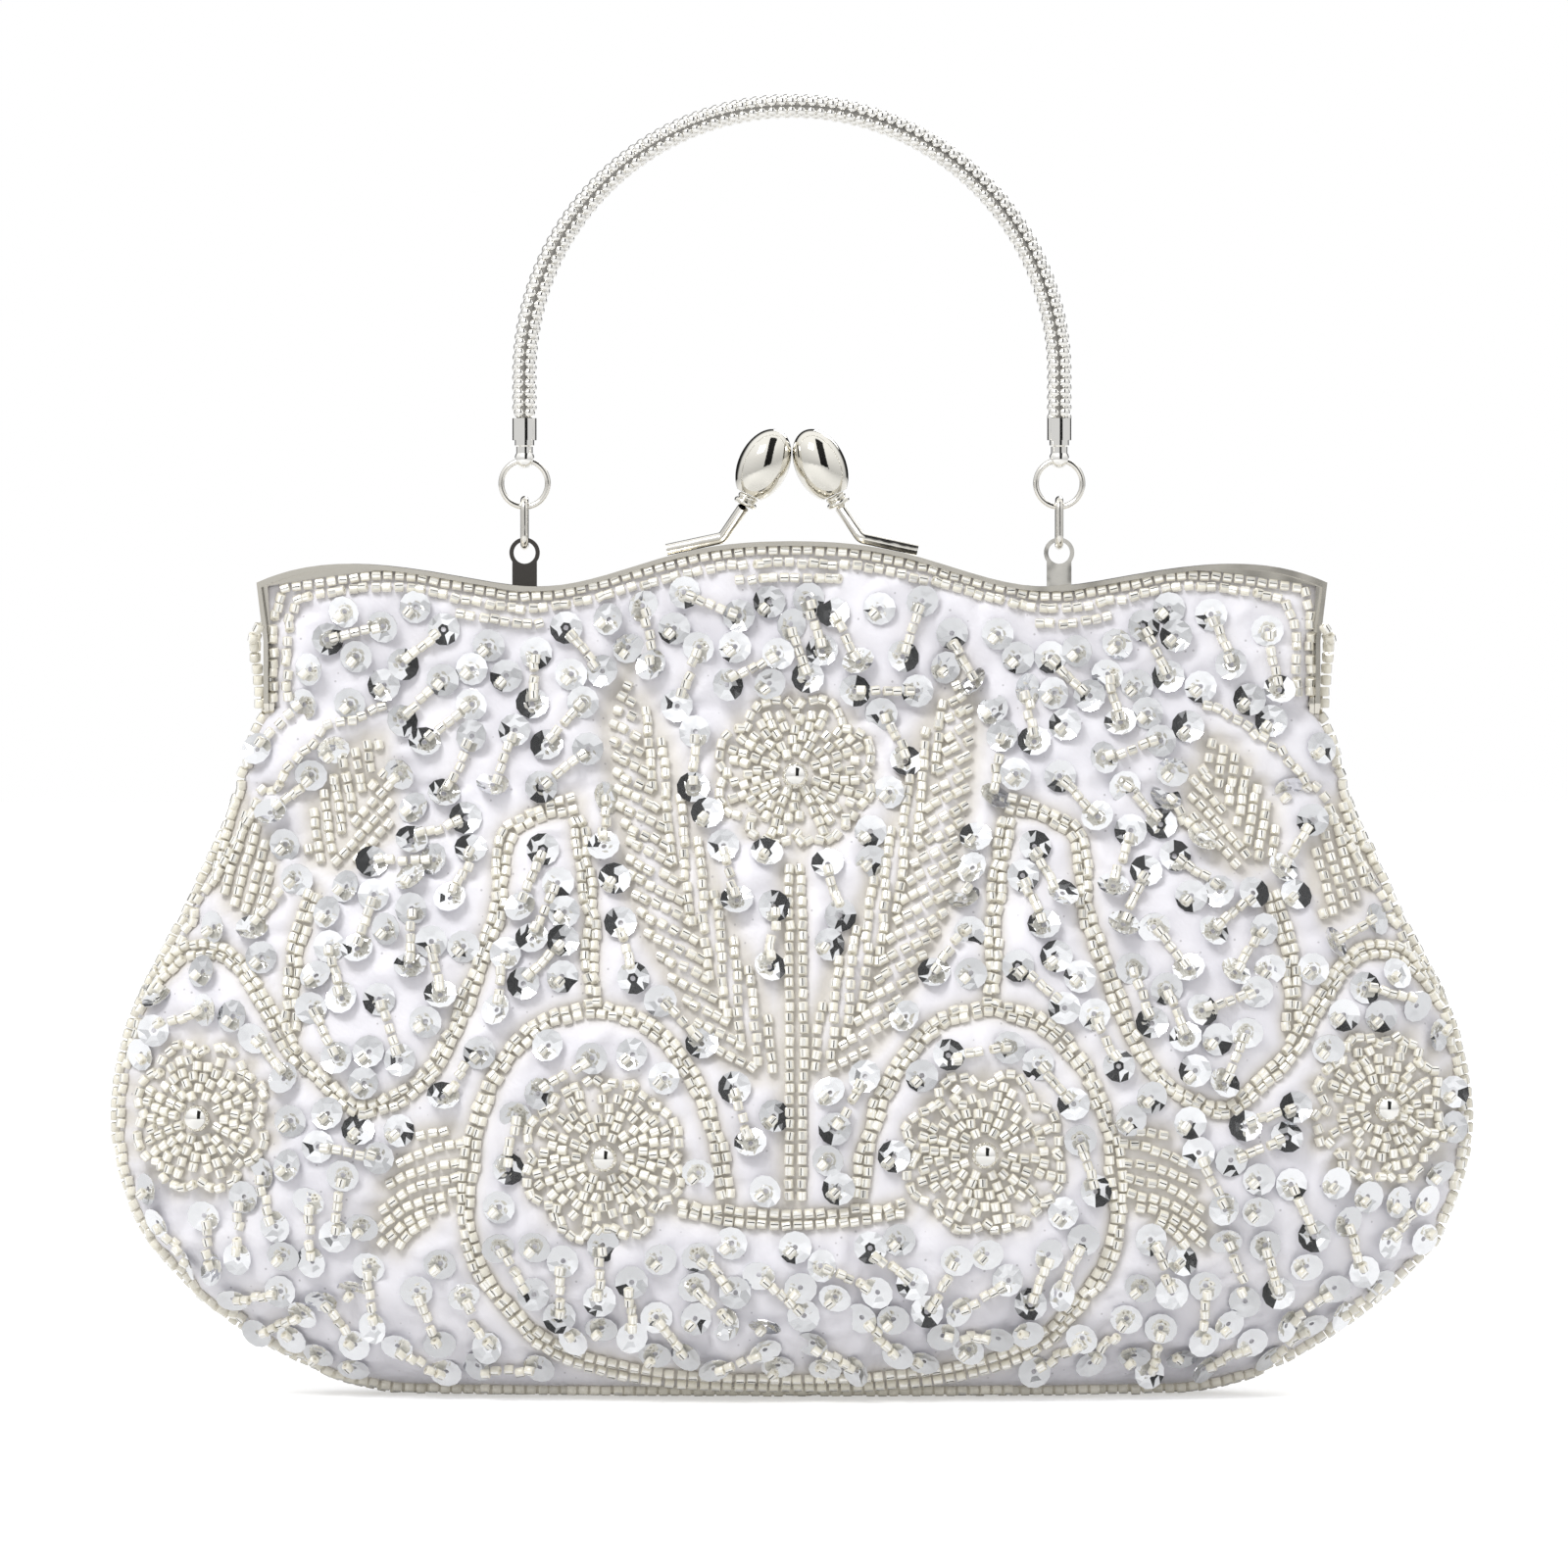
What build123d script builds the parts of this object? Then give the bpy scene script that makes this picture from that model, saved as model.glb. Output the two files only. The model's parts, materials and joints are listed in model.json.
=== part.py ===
"""Beaded evening bag: kiss-lock purse frame, snake-chain handle and soft embroidered pouch.

Millimetres. Origin at the middle of the base, +X to the wearer's right, +Z up, front faces -Y.
"""
import math
import os

from build123d import *

# ---- Driving dimensions ---------------------------------------------------------------
GAP = 0.1               # clearance between neighbouring layers
POUCH_TOP = 123.0       # upper edge of the pouch, below the turning circle of the frame ears
HINGE_Z = 132.0         # height of the frame hinge axis

# Pouch outline: height, half width, half depth. The base is flattened where the bag stands.
POUCH_SECTIONS = [
    (0.0, 79.0, 15.0),
    (3.0, 89.0, 19.5),
    (9.0, 100.5, 24.0),
    (18.0, 113.0, 28.0),
    (30.0, 124.0, 30.5),
    (45.0, 129.6, 31.0),
    (58.0, 130.0, 30.0),
    (74.0, 126.0, 27.5),
    (92.0, 117.0, 22.5),
    (109.0, 109.5, 16.0),
    (POUCH_TOP, 104.6, 10.5),
]

# Layer boundaries, measured inwards from the outer surface of the beads
BEAD_LAYER = 2.0
SATIN = 0.8
PADDING = 2.4
LINING = 0.7

# Frame: top edge from the centre to the corner, then the arm down to the hinge
FRAME_CREST = [(0, 162.9), (12.0, 162.3), (23.4, 160.1), (47.0, 154.3), (62.0, 155.9), (77.0, 158.2), (101.9, 155.0)]
ARM_X = 100.6           # outer face of the arms at the hinge
ARM_TURN_Z = 144.0      # the arms run straight down below this height
PLATE = 0.9             # gauge of the frame's strip
PARTING = 0.2           # each half stops this far from the middle plane
FRAME_DEPTH = 6.3       # front-to-back depth of one half
FLANGE_WIDTH = 6.0      # inner flange that the fabric is sewn to
FLANGE_Y = 2.1
FLANGE_END_Z = 143.5    # the flange ends here, clear of the ears
EAR_R = 4.0
RIVET_R = 1.2
RIVET_HEAD_R = 2.2
RIVET_HEAD = 0.7
RUNNING = 0.05          # radial clearance on the hinge rivet

# Flaps: the upper part of each side, held in its frame half
FLAP_LINING_Y = (0.4, 1.0)
FLAP_SATIN_Y = (3.05, 3.75)
FLAP_BEADS_Y = (3.85, 6.6)
FLAP_END_Z = 130.0
FLAP_INSET = 1.1
FLAP_HINGE_X = 97.0     # half width of the flaps beside the ears
FLAP_HINGE_TOP = 145.0

# Handle
HANDLE_X = 51.1         # half span between the two chain ends
HANDLE_Y = 1.55         # plane of the tabs, links, rings and chain
HANDLE_TOP_Z = 245.9    # chain centreline at the crown
CHAIN_R = 2.35
CHAIN_BORE_R = 1.6
CORE_R = 1.5
CAP_TOP_Z = 186.4
CAP_R = 2.3
CAP_CYLINDER = 4.2
CAP_NECK_R = 1.85
CAP_BALL_Z = 178.65
CAP_BALL_R = 1.9
CAP_HOLE_R = 0.9
CAP_HOLE_Z = 178.15
CORE_IN_CAP = 2.6       # how far the core runs into each cap

RING_R = 4.45           # centreline radius of a jump ring
RING_WIRE_R = 0.55
RING_Z = 173.9
LINK_WIRE_R = 0.75
LINK_END_R = 2.0        # centreline radius of a link's round ends
LINK_BOTTOM_Z = 161.95  # centre of the lower wire
LINK_TOP_Z = RING_Z - RING_R + RING_WIRE_R + LINK_WIRE_R + GAP / 2

TAB_EYE_Z = 160.7
TAB_EYE_R = 2.9
TAB_HOLE_R = 2.1
TAB_WIDTH = 4.7
TAB_THICK = 0.8
TAB_END_Z = 149.0
TAB_SLOT_SLACK = 0.15

# Kiss-lock clasps
CLASP_FOOT_X = 24.0
CLASP_BEND_X = 13.2
CLASP_FOOT_Y = 3.3
CLASP_ROD_R = 1.1
CLASP_NECK = (9.3, 169.3)
CLASP_BALL = (5.45, 177.4)
CLASP_BALL_LONG_R = 7.3
CLASP_BALL_R = 4.8
COLLAR_R = 2.25
COLLAR_LENGTH = 2.2
COLLAR_GAP = 0.45        # the rod's end face is square to the rod, a little askew to the ball

# Polished studs at the flower centres: across, up
STUD_R = 2.5
STUD_PROUD = 1.2        # stud centre above the outer surface of the beads
STUDS = [(0.6, 118.0), (-35.3, 46.8), (36.2, 47.4), (-112.3, 53.5), (112.3, 55.3)]

PARTS_DIR = "parts"
os.makedirs(PARTS_DIR, exist_ok=True)


def finish(builder, label):
    """Label one piece and write its STEP file."""
    builder.part.label = label
    export_step(builder.part, os.path.join(PARTS_DIR, label + ".step"))


# ---- Soft pouch -----------------------------------------------------------------------
def pouch_form(inset):
    """Closed form of the pouch, drawn in by inset on every side but the top."""
    with BuildPart() as form:
        for height, half_width, half_depth in POUCH_SECTIONS:
            level = inset + height * (POUCH_TOP - inset) / POUCH_TOP
            with BuildSketch(Plane.XY.offset(level)):
                Ellipse(half_width - inset, half_depth - inset)
        loft()
    return form.part


def half_layer(outer_inset, thickness):
    """Front half of one layer of the pouch: outer form less inner form, cut at the seam."""
    with BuildPart() as layer:
        add(pouch_form(outer_inset))
        add(pouch_form(outer_inset + thickness), mode=Mode.SUBTRACT)
        split(bisect_by=Plane.XZ.offset(GAP / 2), keep=Keep.TOP)
    return layer.part


def pouch_half_depth(x, z):
    """Depth of the outer surface in front of the middle plane at (x, z)."""
    for low, high in zip(POUCH_SECTIONS, POUCH_SECTIONS[1:]):
        if low[0] <= z <= high[0]:
            share = (z - low[0]) / (high[0] - low[0])
            half_width = low[1] + share * (high[1] - low[1])
            half_depth = low[2] + share * (high[2] - low[2])
            return half_depth * math.sqrt(1 - (x / half_width) ** 2)
    return POUCH_SECTIONS[-1][2]


def stud_place(x, z):
    """Centre of a stud whose flower is centred at (x, z), moved out along the surface normal."""
    step = 0.5
    slope_x = (pouch_half_depth(x + step, z) - pouch_half_depth(x - step, z)) / (2 * step)
    slope_z = (pouch_half_depth(x, z + step) - pouch_half_depth(x, z - step)) / (2 * step)
    outward = Vector(-slope_x, -1, -slope_z).normalized()
    return Vector(x, -pouch_half_depth(x, z), z) + outward * STUD_PROUD


stud_places = [stud_place(x, z) for x, z in STUDS]

with BuildPart() as front_flower_studs:
    with Locations(*stud_places):
        Sphere(STUD_R)
finish(front_flower_studs, "front_flower_studs")

with BuildPart() as back_flower_studs:
    mirror(front_flower_studs.part, about=Plane.XZ)
finish(back_flower_studs, "back_flower_studs")

with BuildPart() as front_beadwork:
    add(half_layer(0, BEAD_LAYER))
    with Locations(*stud_places):
        Sphere(STUD_R + GAP, mode=Mode.SUBTRACT)
finish(front_beadwork, "front_beadwork")

with BuildPart() as back_beadwork:
    mirror(front_beadwork.part, about=Plane.XZ)
finish(back_beadwork, "back_beadwork")

satin_inset = BEAD_LAYER + GAP
with BuildPart() as front_satin_panel:
    add(half_layer(satin_inset, SATIN))
finish(front_satin_panel, "front_satin_panel")

with BuildPart() as back_satin_panel:
    mirror(front_satin_panel.part, about=Plane.XZ)
finish(back_satin_panel, "back_satin_panel")

padding_inset = satin_inset + SATIN + GAP
with BuildPart() as front_padding:
    add(half_layer(padding_inset, PADDING))
finish(front_padding, "front_padding")

with BuildPart() as back_padding:
    mirror(front_padding.part, about=Plane.XZ)
finish(back_padding, "back_padding")

lining_inset = padding_inset + PADDING + GAP
with BuildPart() as front_lining:
    add(half_layer(lining_inset, LINING))
finish(front_lining, "front_lining")

with BuildPart() as back_lining:
    mirror(front_lining.part, about=Plane.XZ)
finish(back_lining, "back_lining")


# ---- Frame ----------------------------------------------------------------------------
def frame_face(y, inset=0.0, foot_z=HINGE_Z):
    """Area inside the frame's outer edge, drawn in by inset, on the plane y in front of the middle."""
    corner_x, corner_z = FRAME_CREST[-1]
    arm_x = ARM_X - inset
    right_crest = [(x, z - inset) for x, z in FRAME_CREST[:-1]] + [(corner_x - inset, corner_z - inset)]
    left_crest = [(-x, z) for x, z in reversed(right_crest)]
    with BuildSketch(Plane.XZ.offset(y)) as face:
        with BuildLine():
            Spline(*left_crest, *right_crest[1:])
            Polyline(
                right_crest[-1],
                (arm_x, ARM_TURN_Z),
                (arm_x, foot_z),
                (-arm_x, foot_z),
                (-arm_x, ARM_TURN_Z),
                left_crest[0],
            )
        make_face()
    return face.sketch


def frame_top_z(x):
    """Height of the frame's top edge at x, between the points of its outline."""
    for near, far in zip(FRAME_CREST, FRAME_CREST[1:]):
        if near[0] <= abs(x) <= far[0]:
            share = (abs(x) - near[0]) / (far[0] - near[0])
            return near[1] + share * (far[1] - near[1])
    return FRAME_CREST[-1][1]


def frame_rim(foot_z):
    """Strip that follows the outer edge, one half of the frame deep."""
    with BuildPart() as rim:
        extrude(frame_face(PARTING, foot_z=foot_z), amount=FRAME_DEPTH)
        extrude(frame_face(0, PLATE, foot_z - 1), amount=FRAME_DEPTH + 1, mode=Mode.SUBTRACT)
        extrude(frame_face(FLANGE_Y, PLATE / 2, FLANGE_END_Z), amount=PLATE)
        extrude(frame_face(FLANGE_Y - 1, FLANGE_WIDTH, FLANGE_END_Z - 1), amount=PLATE + 2, mode=Mode.SUBTRACT)
    return rim.part


def ear(inner_x, top_z):
    """Flat ear round the hinge axis, with its web running up to top_z on the front side."""
    web_height = top_z - HINGE_Z
    web_depth = FRAME_DEPTH
    with BuildPart() as plate:
        with BuildSketch(Plane.YZ.offset(inner_x)):
            with Locations((0, HINGE_Z)):
                Circle(EAR_R)
            with Locations((-PARTING - web_depth / 2, HINGE_Z + web_height / 2)):
                Rectangle(web_depth, web_height)
            with Locations((0, HINGE_Z)):
                Circle(RIVET_R + RUNNING, mode=Mode.SUBTRACT)
        extrude(amount=PLATE)
    return plate.part


outer_ear_x = ARM_X - PLATE
inner_ear_x = outer_ear_x - PLATE - GAP
JOGGLE_FROM_Z = HINGE_Z + EAR_R + 1.0
JOGGLE_TO_Z = ARM_TURN_Z - 1.0

with BuildPart() as front_frame:
    add(frame_rim(HINGE_Z + EAR_R))
    outer_ear = ear(outer_ear_x, HINGE_Z + EAR_R + 1)
    add(outer_ear)
    mirror(outer_ear, about=Plane.YZ)
finish(front_frame, "front_frame")

with BuildPart() as rear_frame_blank:
    add(frame_rim(JOGGLE_FROM_Z))
    inner_ear = ear(inner_ear_x, JOGGLE_TO_Z)
    add(inner_ear)
    mirror(inner_ear, about=Plane.YZ)
    joggle_width = ARM_X - inner_ear_x
    for side in (-1, 1):
        with BuildSketch(Plane.XZ.offset(PARTING)):
            with Locations((side * (ARM_X - joggle_width / 2), (JOGGLE_FROM_Z + JOGGLE_TO_Z) / 2)):
                Rectangle(joggle_width, JOGGLE_TO_Z - JOGGLE_FROM_Z)
        extrude(amount=FRAME_DEPTH)
    with Locations((-HANDLE_X, -HANDLE_Y, TAB_END_Z + 5), (HANDLE_X, -HANDLE_Y, TAB_END_Z + 5)):
        Box(TAB_WIDTH + 2 * TAB_SLOT_SLACK, TAB_THICK + 2 * TAB_SLOT_SLACK, 8, mode=Mode.SUBTRACT)

with BuildPart() as back_frame:
    mirror(rear_frame_blank.part, about=Plane.XZ)
finish(back_frame, "back_frame")


def hinge_rivet(side):
    """Rivet through both ears at one end of the frame."""
    tail_face = inner_ear_x - GAP / 2
    head_face = ARM_X + GAP / 2
    with BuildPart() as rivet:
        with BuildSketch(Plane.YZ.offset(tail_face)):
            with Locations((0, HINGE_Z)):
                Circle(RIVET_R)
        extrude(amount=head_face - tail_face)
        for face_x, length in ((tail_face, -RIVET_HEAD), (head_face, RIVET_HEAD)):
            with BuildSketch(Plane.YZ.offset(face_x)):
                with Locations((0, HINGE_Z)):
                    Circle(RIVET_HEAD_R)
            extrude(amount=length)
        rims = rivet.edges().filter_by(GeomType.CIRCLE).sort_by(Axis.X)
        fillet([rims[0], rims[-1]], RIVET_HEAD / 2)
    if side > 0:
        return rivet
    with BuildPart() as mirrored:
        mirror(rivet.part, about=Plane.YZ)
    return mirrored


finish(hinge_rivet(-1), "left_hinge_rivet")
finish(hinge_rivet(1), "right_hinge_rivet")


# ---- Flaps held in the frame ----------------------------------------------------------
def flap_layer(layer_y):
    """One layer of the front flap, between its two distances in front of the middle plane."""
    near_y, far_y = layer_y
    ear_room = ARM_X - FLAP_HINGE_X
    with BuildPart() as layer:
        extrude(frame_face(near_y, FLAP_INSET, FLAP_END_Z), amount=far_y - near_y)
        for side in (-1, 1):
            with Locations((side * (FLAP_HINGE_X + ear_room / 2), -5, FLAP_HINGE_TOP - 15)):
                Box(ear_room, 20, 30, mode=Mode.SUBTRACT)
    return layer


def make_flap(layer_y, name):
    """Write the front and back flap of one layer."""
    front = flap_layer(layer_y)
    finish(front, "front_flap_" + name)
    with BuildPart() as back:
        mirror(front.part, about=Plane.XZ)
    finish(back, "back_flap_" + name)


make_flap(FLAP_BEADS_Y, "beadwork")
make_flap(FLAP_SATIN_Y, "satin")


def lining_flap(y_sign):
    """Inner lining of a flap, ending above the hinge so that it turns clear of the pouch."""
    near_y, far_y = FLAP_LINING_Y
    with BuildPart() as layer:
        extrude(frame_face(near_y, FLANGE_WIDTH / 2, HINGE_Z + 1), amount=far_y - near_y)
        for side in (-1, 1):
            with Locations((side * ARM_X, 0, HINGE_Z)):
                Box(2 * (ARM_X - FLAP_HINGE_X), 20, 2 * (FLAP_HINGE_TOP - HINGE_Z), mode=Mode.SUBTRACT)
    if y_sign < 0:
        return layer
    with BuildPart() as mirrored:
        mirror(layer.part, about=Plane.XZ)
    return mirrored


finish(lining_flap(-1), "front_flap_lining")
finish(lining_flap(1), "back_flap_lining")


# ---- Kiss-lock clasps -----------------------------------------------------------------
def clasp_axis(side):
    """Unit direction from the neck to the ball, and the two ends, for the clasp on one side."""
    neck = Vector(side * CLASP_NECK[0], 0, CLASP_NECK[1])
    ball = Vector(side * CLASP_BALL[0], 0, CLASP_BALL[1])
    return neck, ball, (ball - neck).normalized()


def clasp_post(side):
    """Rod lying along the frame's top edge, then bent up to the ball. Right one is on the front."""
    neck, ball, along = clasp_axis(side)
    foot_y = -side * CLASP_FOOT_Y
    lift = CLASP_ROD_R + 0.2
    foot = Vector(side * CLASP_FOOT_X, foot_y, frame_top_z(CLASP_FOOT_X) + lift)
    bend = Vector(side * CLASP_BEND_X, foot_y, frame_top_z(CLASP_BEND_X) + lift + 0.2)
    with BuildPart() as post:
        with BuildLine() as route:
            FilletPolyline(foot, bend, neck, radius=1.6)
        with BuildSketch(Plane(origin=foot, z_dir=route.line % 0)):
            Circle(CLASP_ROD_R)
        sweep()
    return post


def clasp_collar(side):
    """Two-ring collar between the rod and the ball."""
    neck, ball, along = clasp_axis(side)
    bead_r = COLLAR_LENGTH / 4
    base = neck + along * COLLAR_GAP
    with BuildPart() as collar:
        with BuildSketch(Plane(origin=base, x_dir=(0, 1, 0), z_dir=Vector(0, 1, 0).cross(along))):
            Rectangle(COLLAR_R * 0.75, COLLAR_LENGTH, align=(Align.MIN, Align.MIN))
            with Locations((COLLAR_R - bead_r, bead_r)):
                Circle(bead_r)
            with Locations((COLLAR_R * 0.86 - bead_r, 3 * bead_r)):
                Circle(bead_r)
        revolve(axis=Axis(base, along))
    return collar


def clasp_ball(side):
    """Egg-shaped ball, cut flat where it meets the collar."""
    neck, ball, along = clasp_axis(side)
    base = COLLAR_GAP + COLLAR_LENGTH + GAP - (ball - neck).length
    with BuildPart() as egg:
        with BuildSketch(Plane(origin=ball, x_dir=(0, 1, 0), z_dir=Vector(0, 1, 0).cross(along))):
            Ellipse(CLASP_BALL_R, CLASP_BALL_LONG_R)
            Rectangle(CLASP_BALL_R, CLASP_BALL_LONG_R * 2, align=(Align.MAX, Align.CENTER), mode=Mode.SUBTRACT)
            with Locations((0, base)):
                Rectangle(CLASP_BALL_R, CLASP_BALL_LONG_R, align=(Align.MIN, Align.MAX), mode=Mode.SUBTRACT)
        revolve(axis=Axis(ball, along))
    return egg


for side, side_name in ((-1, "left"), (1, "right")):
    finish(clasp_post(side), side_name + "_clasp_post")
    finish(clasp_collar(side), side_name + "_clasp_collar")
    finish(clasp_ball(side), side_name + "_clasp_ball")


# ---- Handle fittings ------------------------------------------------------------------
def handle_tab(side):
    """Strip with an eye, through a slot in the back rim and down behind its flange."""
    with BuildPart() as tab:
        with BuildSketch(Plane.XZ.offset(-HANDLE_Y - TAB_THICK / 2)):
            with Locations((side * HANDLE_X, TAB_EYE_Z)):
                Circle(TAB_EYE_R)
            with Locations((side * HANDLE_X, (TAB_EYE_Z + TAB_END_Z) / 2)):
                Rectangle(TAB_WIDTH, TAB_EYE_Z - TAB_END_Z)
            with Locations((side * HANDLE_X, TAB_EYE_Z)):
                Circle(TAB_HOLE_R, mode=Mode.SUBTRACT)
        extrude(amount=TAB_THICK)
    return tab


def oval_link(side):
    """Closed wire link standing front to back, through the tab's eye."""
    centre_z = (LINK_BOTTOM_Z + LINK_TOP_Z) / 2
    straight = LINK_TOP_Z - LINK_BOTTOM_Z - 2 * LINK_END_R
    with BuildPart() as link:
        with BuildLine(Plane.YZ.offset(side * HANDLE_X)) as route:
            near_y = HANDLE_Y - LINK_END_R
            far_y = HANDLE_Y + LINK_END_R
            low_z = centre_z - straight / 2
            high_z = centre_z + straight / 2
            Line((near_y, low_z), (near_y, high_z))
            ThreePointArc((near_y, high_z), (HANDLE_Y, LINK_TOP_Z), (far_y, high_z))
            Line((far_y, high_z), (far_y, low_z))
            ThreePointArc((far_y, low_z), (HANDLE_Y, LINK_BOTTOM_Z), (near_y, low_z))
        with BuildSketch(Plane(origin=route.line @ 0, z_dir=route.line % 0)):
            Circle(LINK_WIRE_R)
        sweep()
    return link


def jump_ring(side):
    """Round wire ring between the link and the end cap."""
    with BuildPart() as ring:
        with Locations(Plane(origin=(side * HANDLE_X, HANDLE_Y, RING_Z), z_dir=(0, 1, 0))):
            Torus(RING_R, RING_WIRE_R)
    return ring


def end_cap(side):
    """Turned cap on the chain end, with a cross-drilled ball for the jump ring."""
    cylinder_end = CAP_TOP_Z - CAP_CYLINDER
    with BuildPart() as cap:
        with BuildSketch(Plane.XZ.offset(-HANDLE_Y)):
            with BuildLine():
                edge_x = side * HANDLE_X
                Polyline(
                    (edge_x, CAP_BALL_Z - CAP_BALL_R * 0.6),
                    (edge_x, CAP_TOP_Z),
                    (edge_x + CAP_R, CAP_TOP_Z),
                    (edge_x + CAP_R, cylinder_end),
                    (edge_x + CAP_NECK_R, cylinder_end),
                    (edge_x + CAP_NECK_R, cylinder_end - 1.0),
                    (edge_x + CAP_NECK_R * 0.85, cylinder_end - 1.25),
                    (edge_x + CAP_NECK_R * 0.85, CAP_BALL_Z),
                    (edge_x, CAP_BALL_Z - CAP_BALL_R * 0.6),
                )
            make_face()
        revolve(axis=Axis((side * HANDLE_X, HANDLE_Y, 0), (0, 0, 1)))
        with Locations((side * HANDLE_X, HANDLE_Y, CAP_BALL_Z)):
            Sphere(CAP_BALL_R)
        with Locations(Plane(origin=(side * HANDLE_X, HANDLE_Y, CAP_HOLE_Z), z_dir=(1, 0, 0))):
            Cylinder(CAP_HOLE_R, 4 * CAP_R, mode=Mode.SUBTRACT)
        with Locations((side * HANDLE_X, HANDLE_Y, CAP_TOP_Z)):
            Cylinder(CORE_R + RUNNING, 2 * (CORE_IN_CAP + GAP), mode=Mode.SUBTRACT)
    return cap


for side, side_name in ((-1, "left"), (1, "right")):
    finish(handle_tab(side), side_name + "_handle_tab")
    finish(oval_link(side), side_name + "_oval_link")
    finish(jump_ring(side), side_name + "_jump_ring")
    finish(end_cap(side), side_name + "_end_cap")


# ---- Handle chain ---------------------------------------------------------------------
def handle_route(foot_z):
    """Centreline of the handle: straight legs and a half circle between them."""
    spring_z = HANDLE_TOP_Z - HANDLE_X
    with BuildLine(Plane.XZ.offset(-HANDLE_Y)) as route:
        Line((-HANDLE_X, foot_z), (-HANDLE_X, spring_z))
        ThreePointArc((-HANDLE_X, spring_z), (0, HANDLE_TOP_Z), (HANDLE_X, spring_z))
        Line((HANDLE_X, spring_z), (HANDLE_X, foot_z))
    return route.line


with BuildPart() as handle_chain:
    chain_foot = CAP_TOP_Z + GAP
    with BuildSketch(Plane.XY.offset(chain_foot)):
        with Locations((-HANDLE_X, HANDLE_Y)):
            Circle(CHAIN_R)
            Circle(CHAIN_BORE_R, mode=Mode.SUBTRACT)
    sweep(path=handle_route(chain_foot))
finish(handle_chain, "handle_chain")

with BuildPart() as handle_core:
    core_foot = CAP_TOP_Z - CORE_IN_CAP
    with BuildSketch(Plane.XY.offset(core_foot)):
        with Locations((-HANDLE_X, HANDLE_Y)):
            Circle(CORE_R)
    sweep(path=handle_route(core_foot))
finish(handle_core, "handle_core")
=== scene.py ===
"""Looks of a beaded evening bag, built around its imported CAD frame.

Written in design millimetres and turned into metres by MM. X is right, Y is back, Z is up.
The front panel is made first: satin, then seed beads and sequins laid on it. The back mirrors it.
"""

import json
import math
import random

import bpy
import numpy as np
from mathutils import Matrix, Vector, noise
from mathutils.bvhtree import BVHTree
from mathutils.kdtree import KDTree


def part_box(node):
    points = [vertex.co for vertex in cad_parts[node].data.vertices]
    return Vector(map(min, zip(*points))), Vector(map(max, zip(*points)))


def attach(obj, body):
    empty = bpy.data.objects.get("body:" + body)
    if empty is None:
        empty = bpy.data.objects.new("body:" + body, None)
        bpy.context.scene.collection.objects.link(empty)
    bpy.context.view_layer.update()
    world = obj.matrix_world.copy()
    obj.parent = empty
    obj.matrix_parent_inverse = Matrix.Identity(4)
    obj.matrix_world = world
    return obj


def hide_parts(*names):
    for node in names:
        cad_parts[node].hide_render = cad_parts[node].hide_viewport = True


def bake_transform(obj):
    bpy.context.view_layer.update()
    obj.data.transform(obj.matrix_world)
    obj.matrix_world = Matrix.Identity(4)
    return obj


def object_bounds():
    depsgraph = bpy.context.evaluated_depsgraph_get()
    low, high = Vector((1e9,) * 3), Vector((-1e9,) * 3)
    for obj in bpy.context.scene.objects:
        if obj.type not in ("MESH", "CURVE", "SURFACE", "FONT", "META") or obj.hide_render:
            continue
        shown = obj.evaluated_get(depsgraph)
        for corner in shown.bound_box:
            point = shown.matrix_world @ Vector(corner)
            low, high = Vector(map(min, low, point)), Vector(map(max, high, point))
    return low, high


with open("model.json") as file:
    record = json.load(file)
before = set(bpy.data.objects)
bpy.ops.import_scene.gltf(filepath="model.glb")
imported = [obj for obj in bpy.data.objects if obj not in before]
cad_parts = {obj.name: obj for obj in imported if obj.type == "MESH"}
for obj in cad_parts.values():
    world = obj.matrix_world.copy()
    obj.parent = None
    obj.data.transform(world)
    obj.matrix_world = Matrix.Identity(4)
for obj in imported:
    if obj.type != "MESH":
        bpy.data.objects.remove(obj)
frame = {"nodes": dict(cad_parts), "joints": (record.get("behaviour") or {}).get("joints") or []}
CAD_LOW, CAD_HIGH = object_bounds()

# ---- Driving sizes, from the frame ----
_, POUCH_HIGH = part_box("front_beadwork")
RIM_LOW, RIM_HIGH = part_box("front_frame")
CHAIN_LOW, CHAIN_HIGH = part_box("handle_chain")
HALF_WIDTH_MM = 130.0  # the pouch's half width on paper
MM = POUCH_HIGH.x / HALF_WIDTH_MM  # one design millimetre in metres
HINGE = next(j for j in frame["joints"] if j["name"] == "front_frame_hinge")
HINGE_Z = HINGE["pos_m"][2] / MM

# satin panel: height, half width and half depth of its elliptical sections
PANEL_PROFILE = (
    (2.0, 78.3, 0.0), (2.05, 78.3, 7.0), (2.2, 78.8, 12.0), (3.2, 83.2, 15.6), (4.9, 88.1, 18.0),
    (10.6, 99.4, 22.5), (19.3, 111.7, 26.2), (31.0, 122.2, 28.6), (45.3, 127.6, 29.0),
    (58.0, 128.0, 28.0), (73.4, 124.1, 25.5), (91.3, 115.2, 20.6), (108.3, 107.6, 14.2),
    (119.5, 103.7, 9.7), (126.5, 101.4, 7.4), (131.0, 98.4, 6.0),
)
FLAP_START_Z = 131.0
FLAP_DEPTH = 4.3  # the flat satin above the hinge stands this far forward
FLAP_EDGE_DEPTH = 3.1  # and rests on the frame's flange at its edges
FLAP_HALF_WIDTH = 98.4
FLAP_TOP_HALF_WIDTH = 99.8
FRAME_CREST = (
    (0, 162.9), (12, 162.3), (23.4, 160.1), (47, 154.3), (62, 155.9), (77, 158.2), (101.9, 155),
)
RIM_INSET = 1.2  # from the top of the frame down to the edge of the satin

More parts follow.
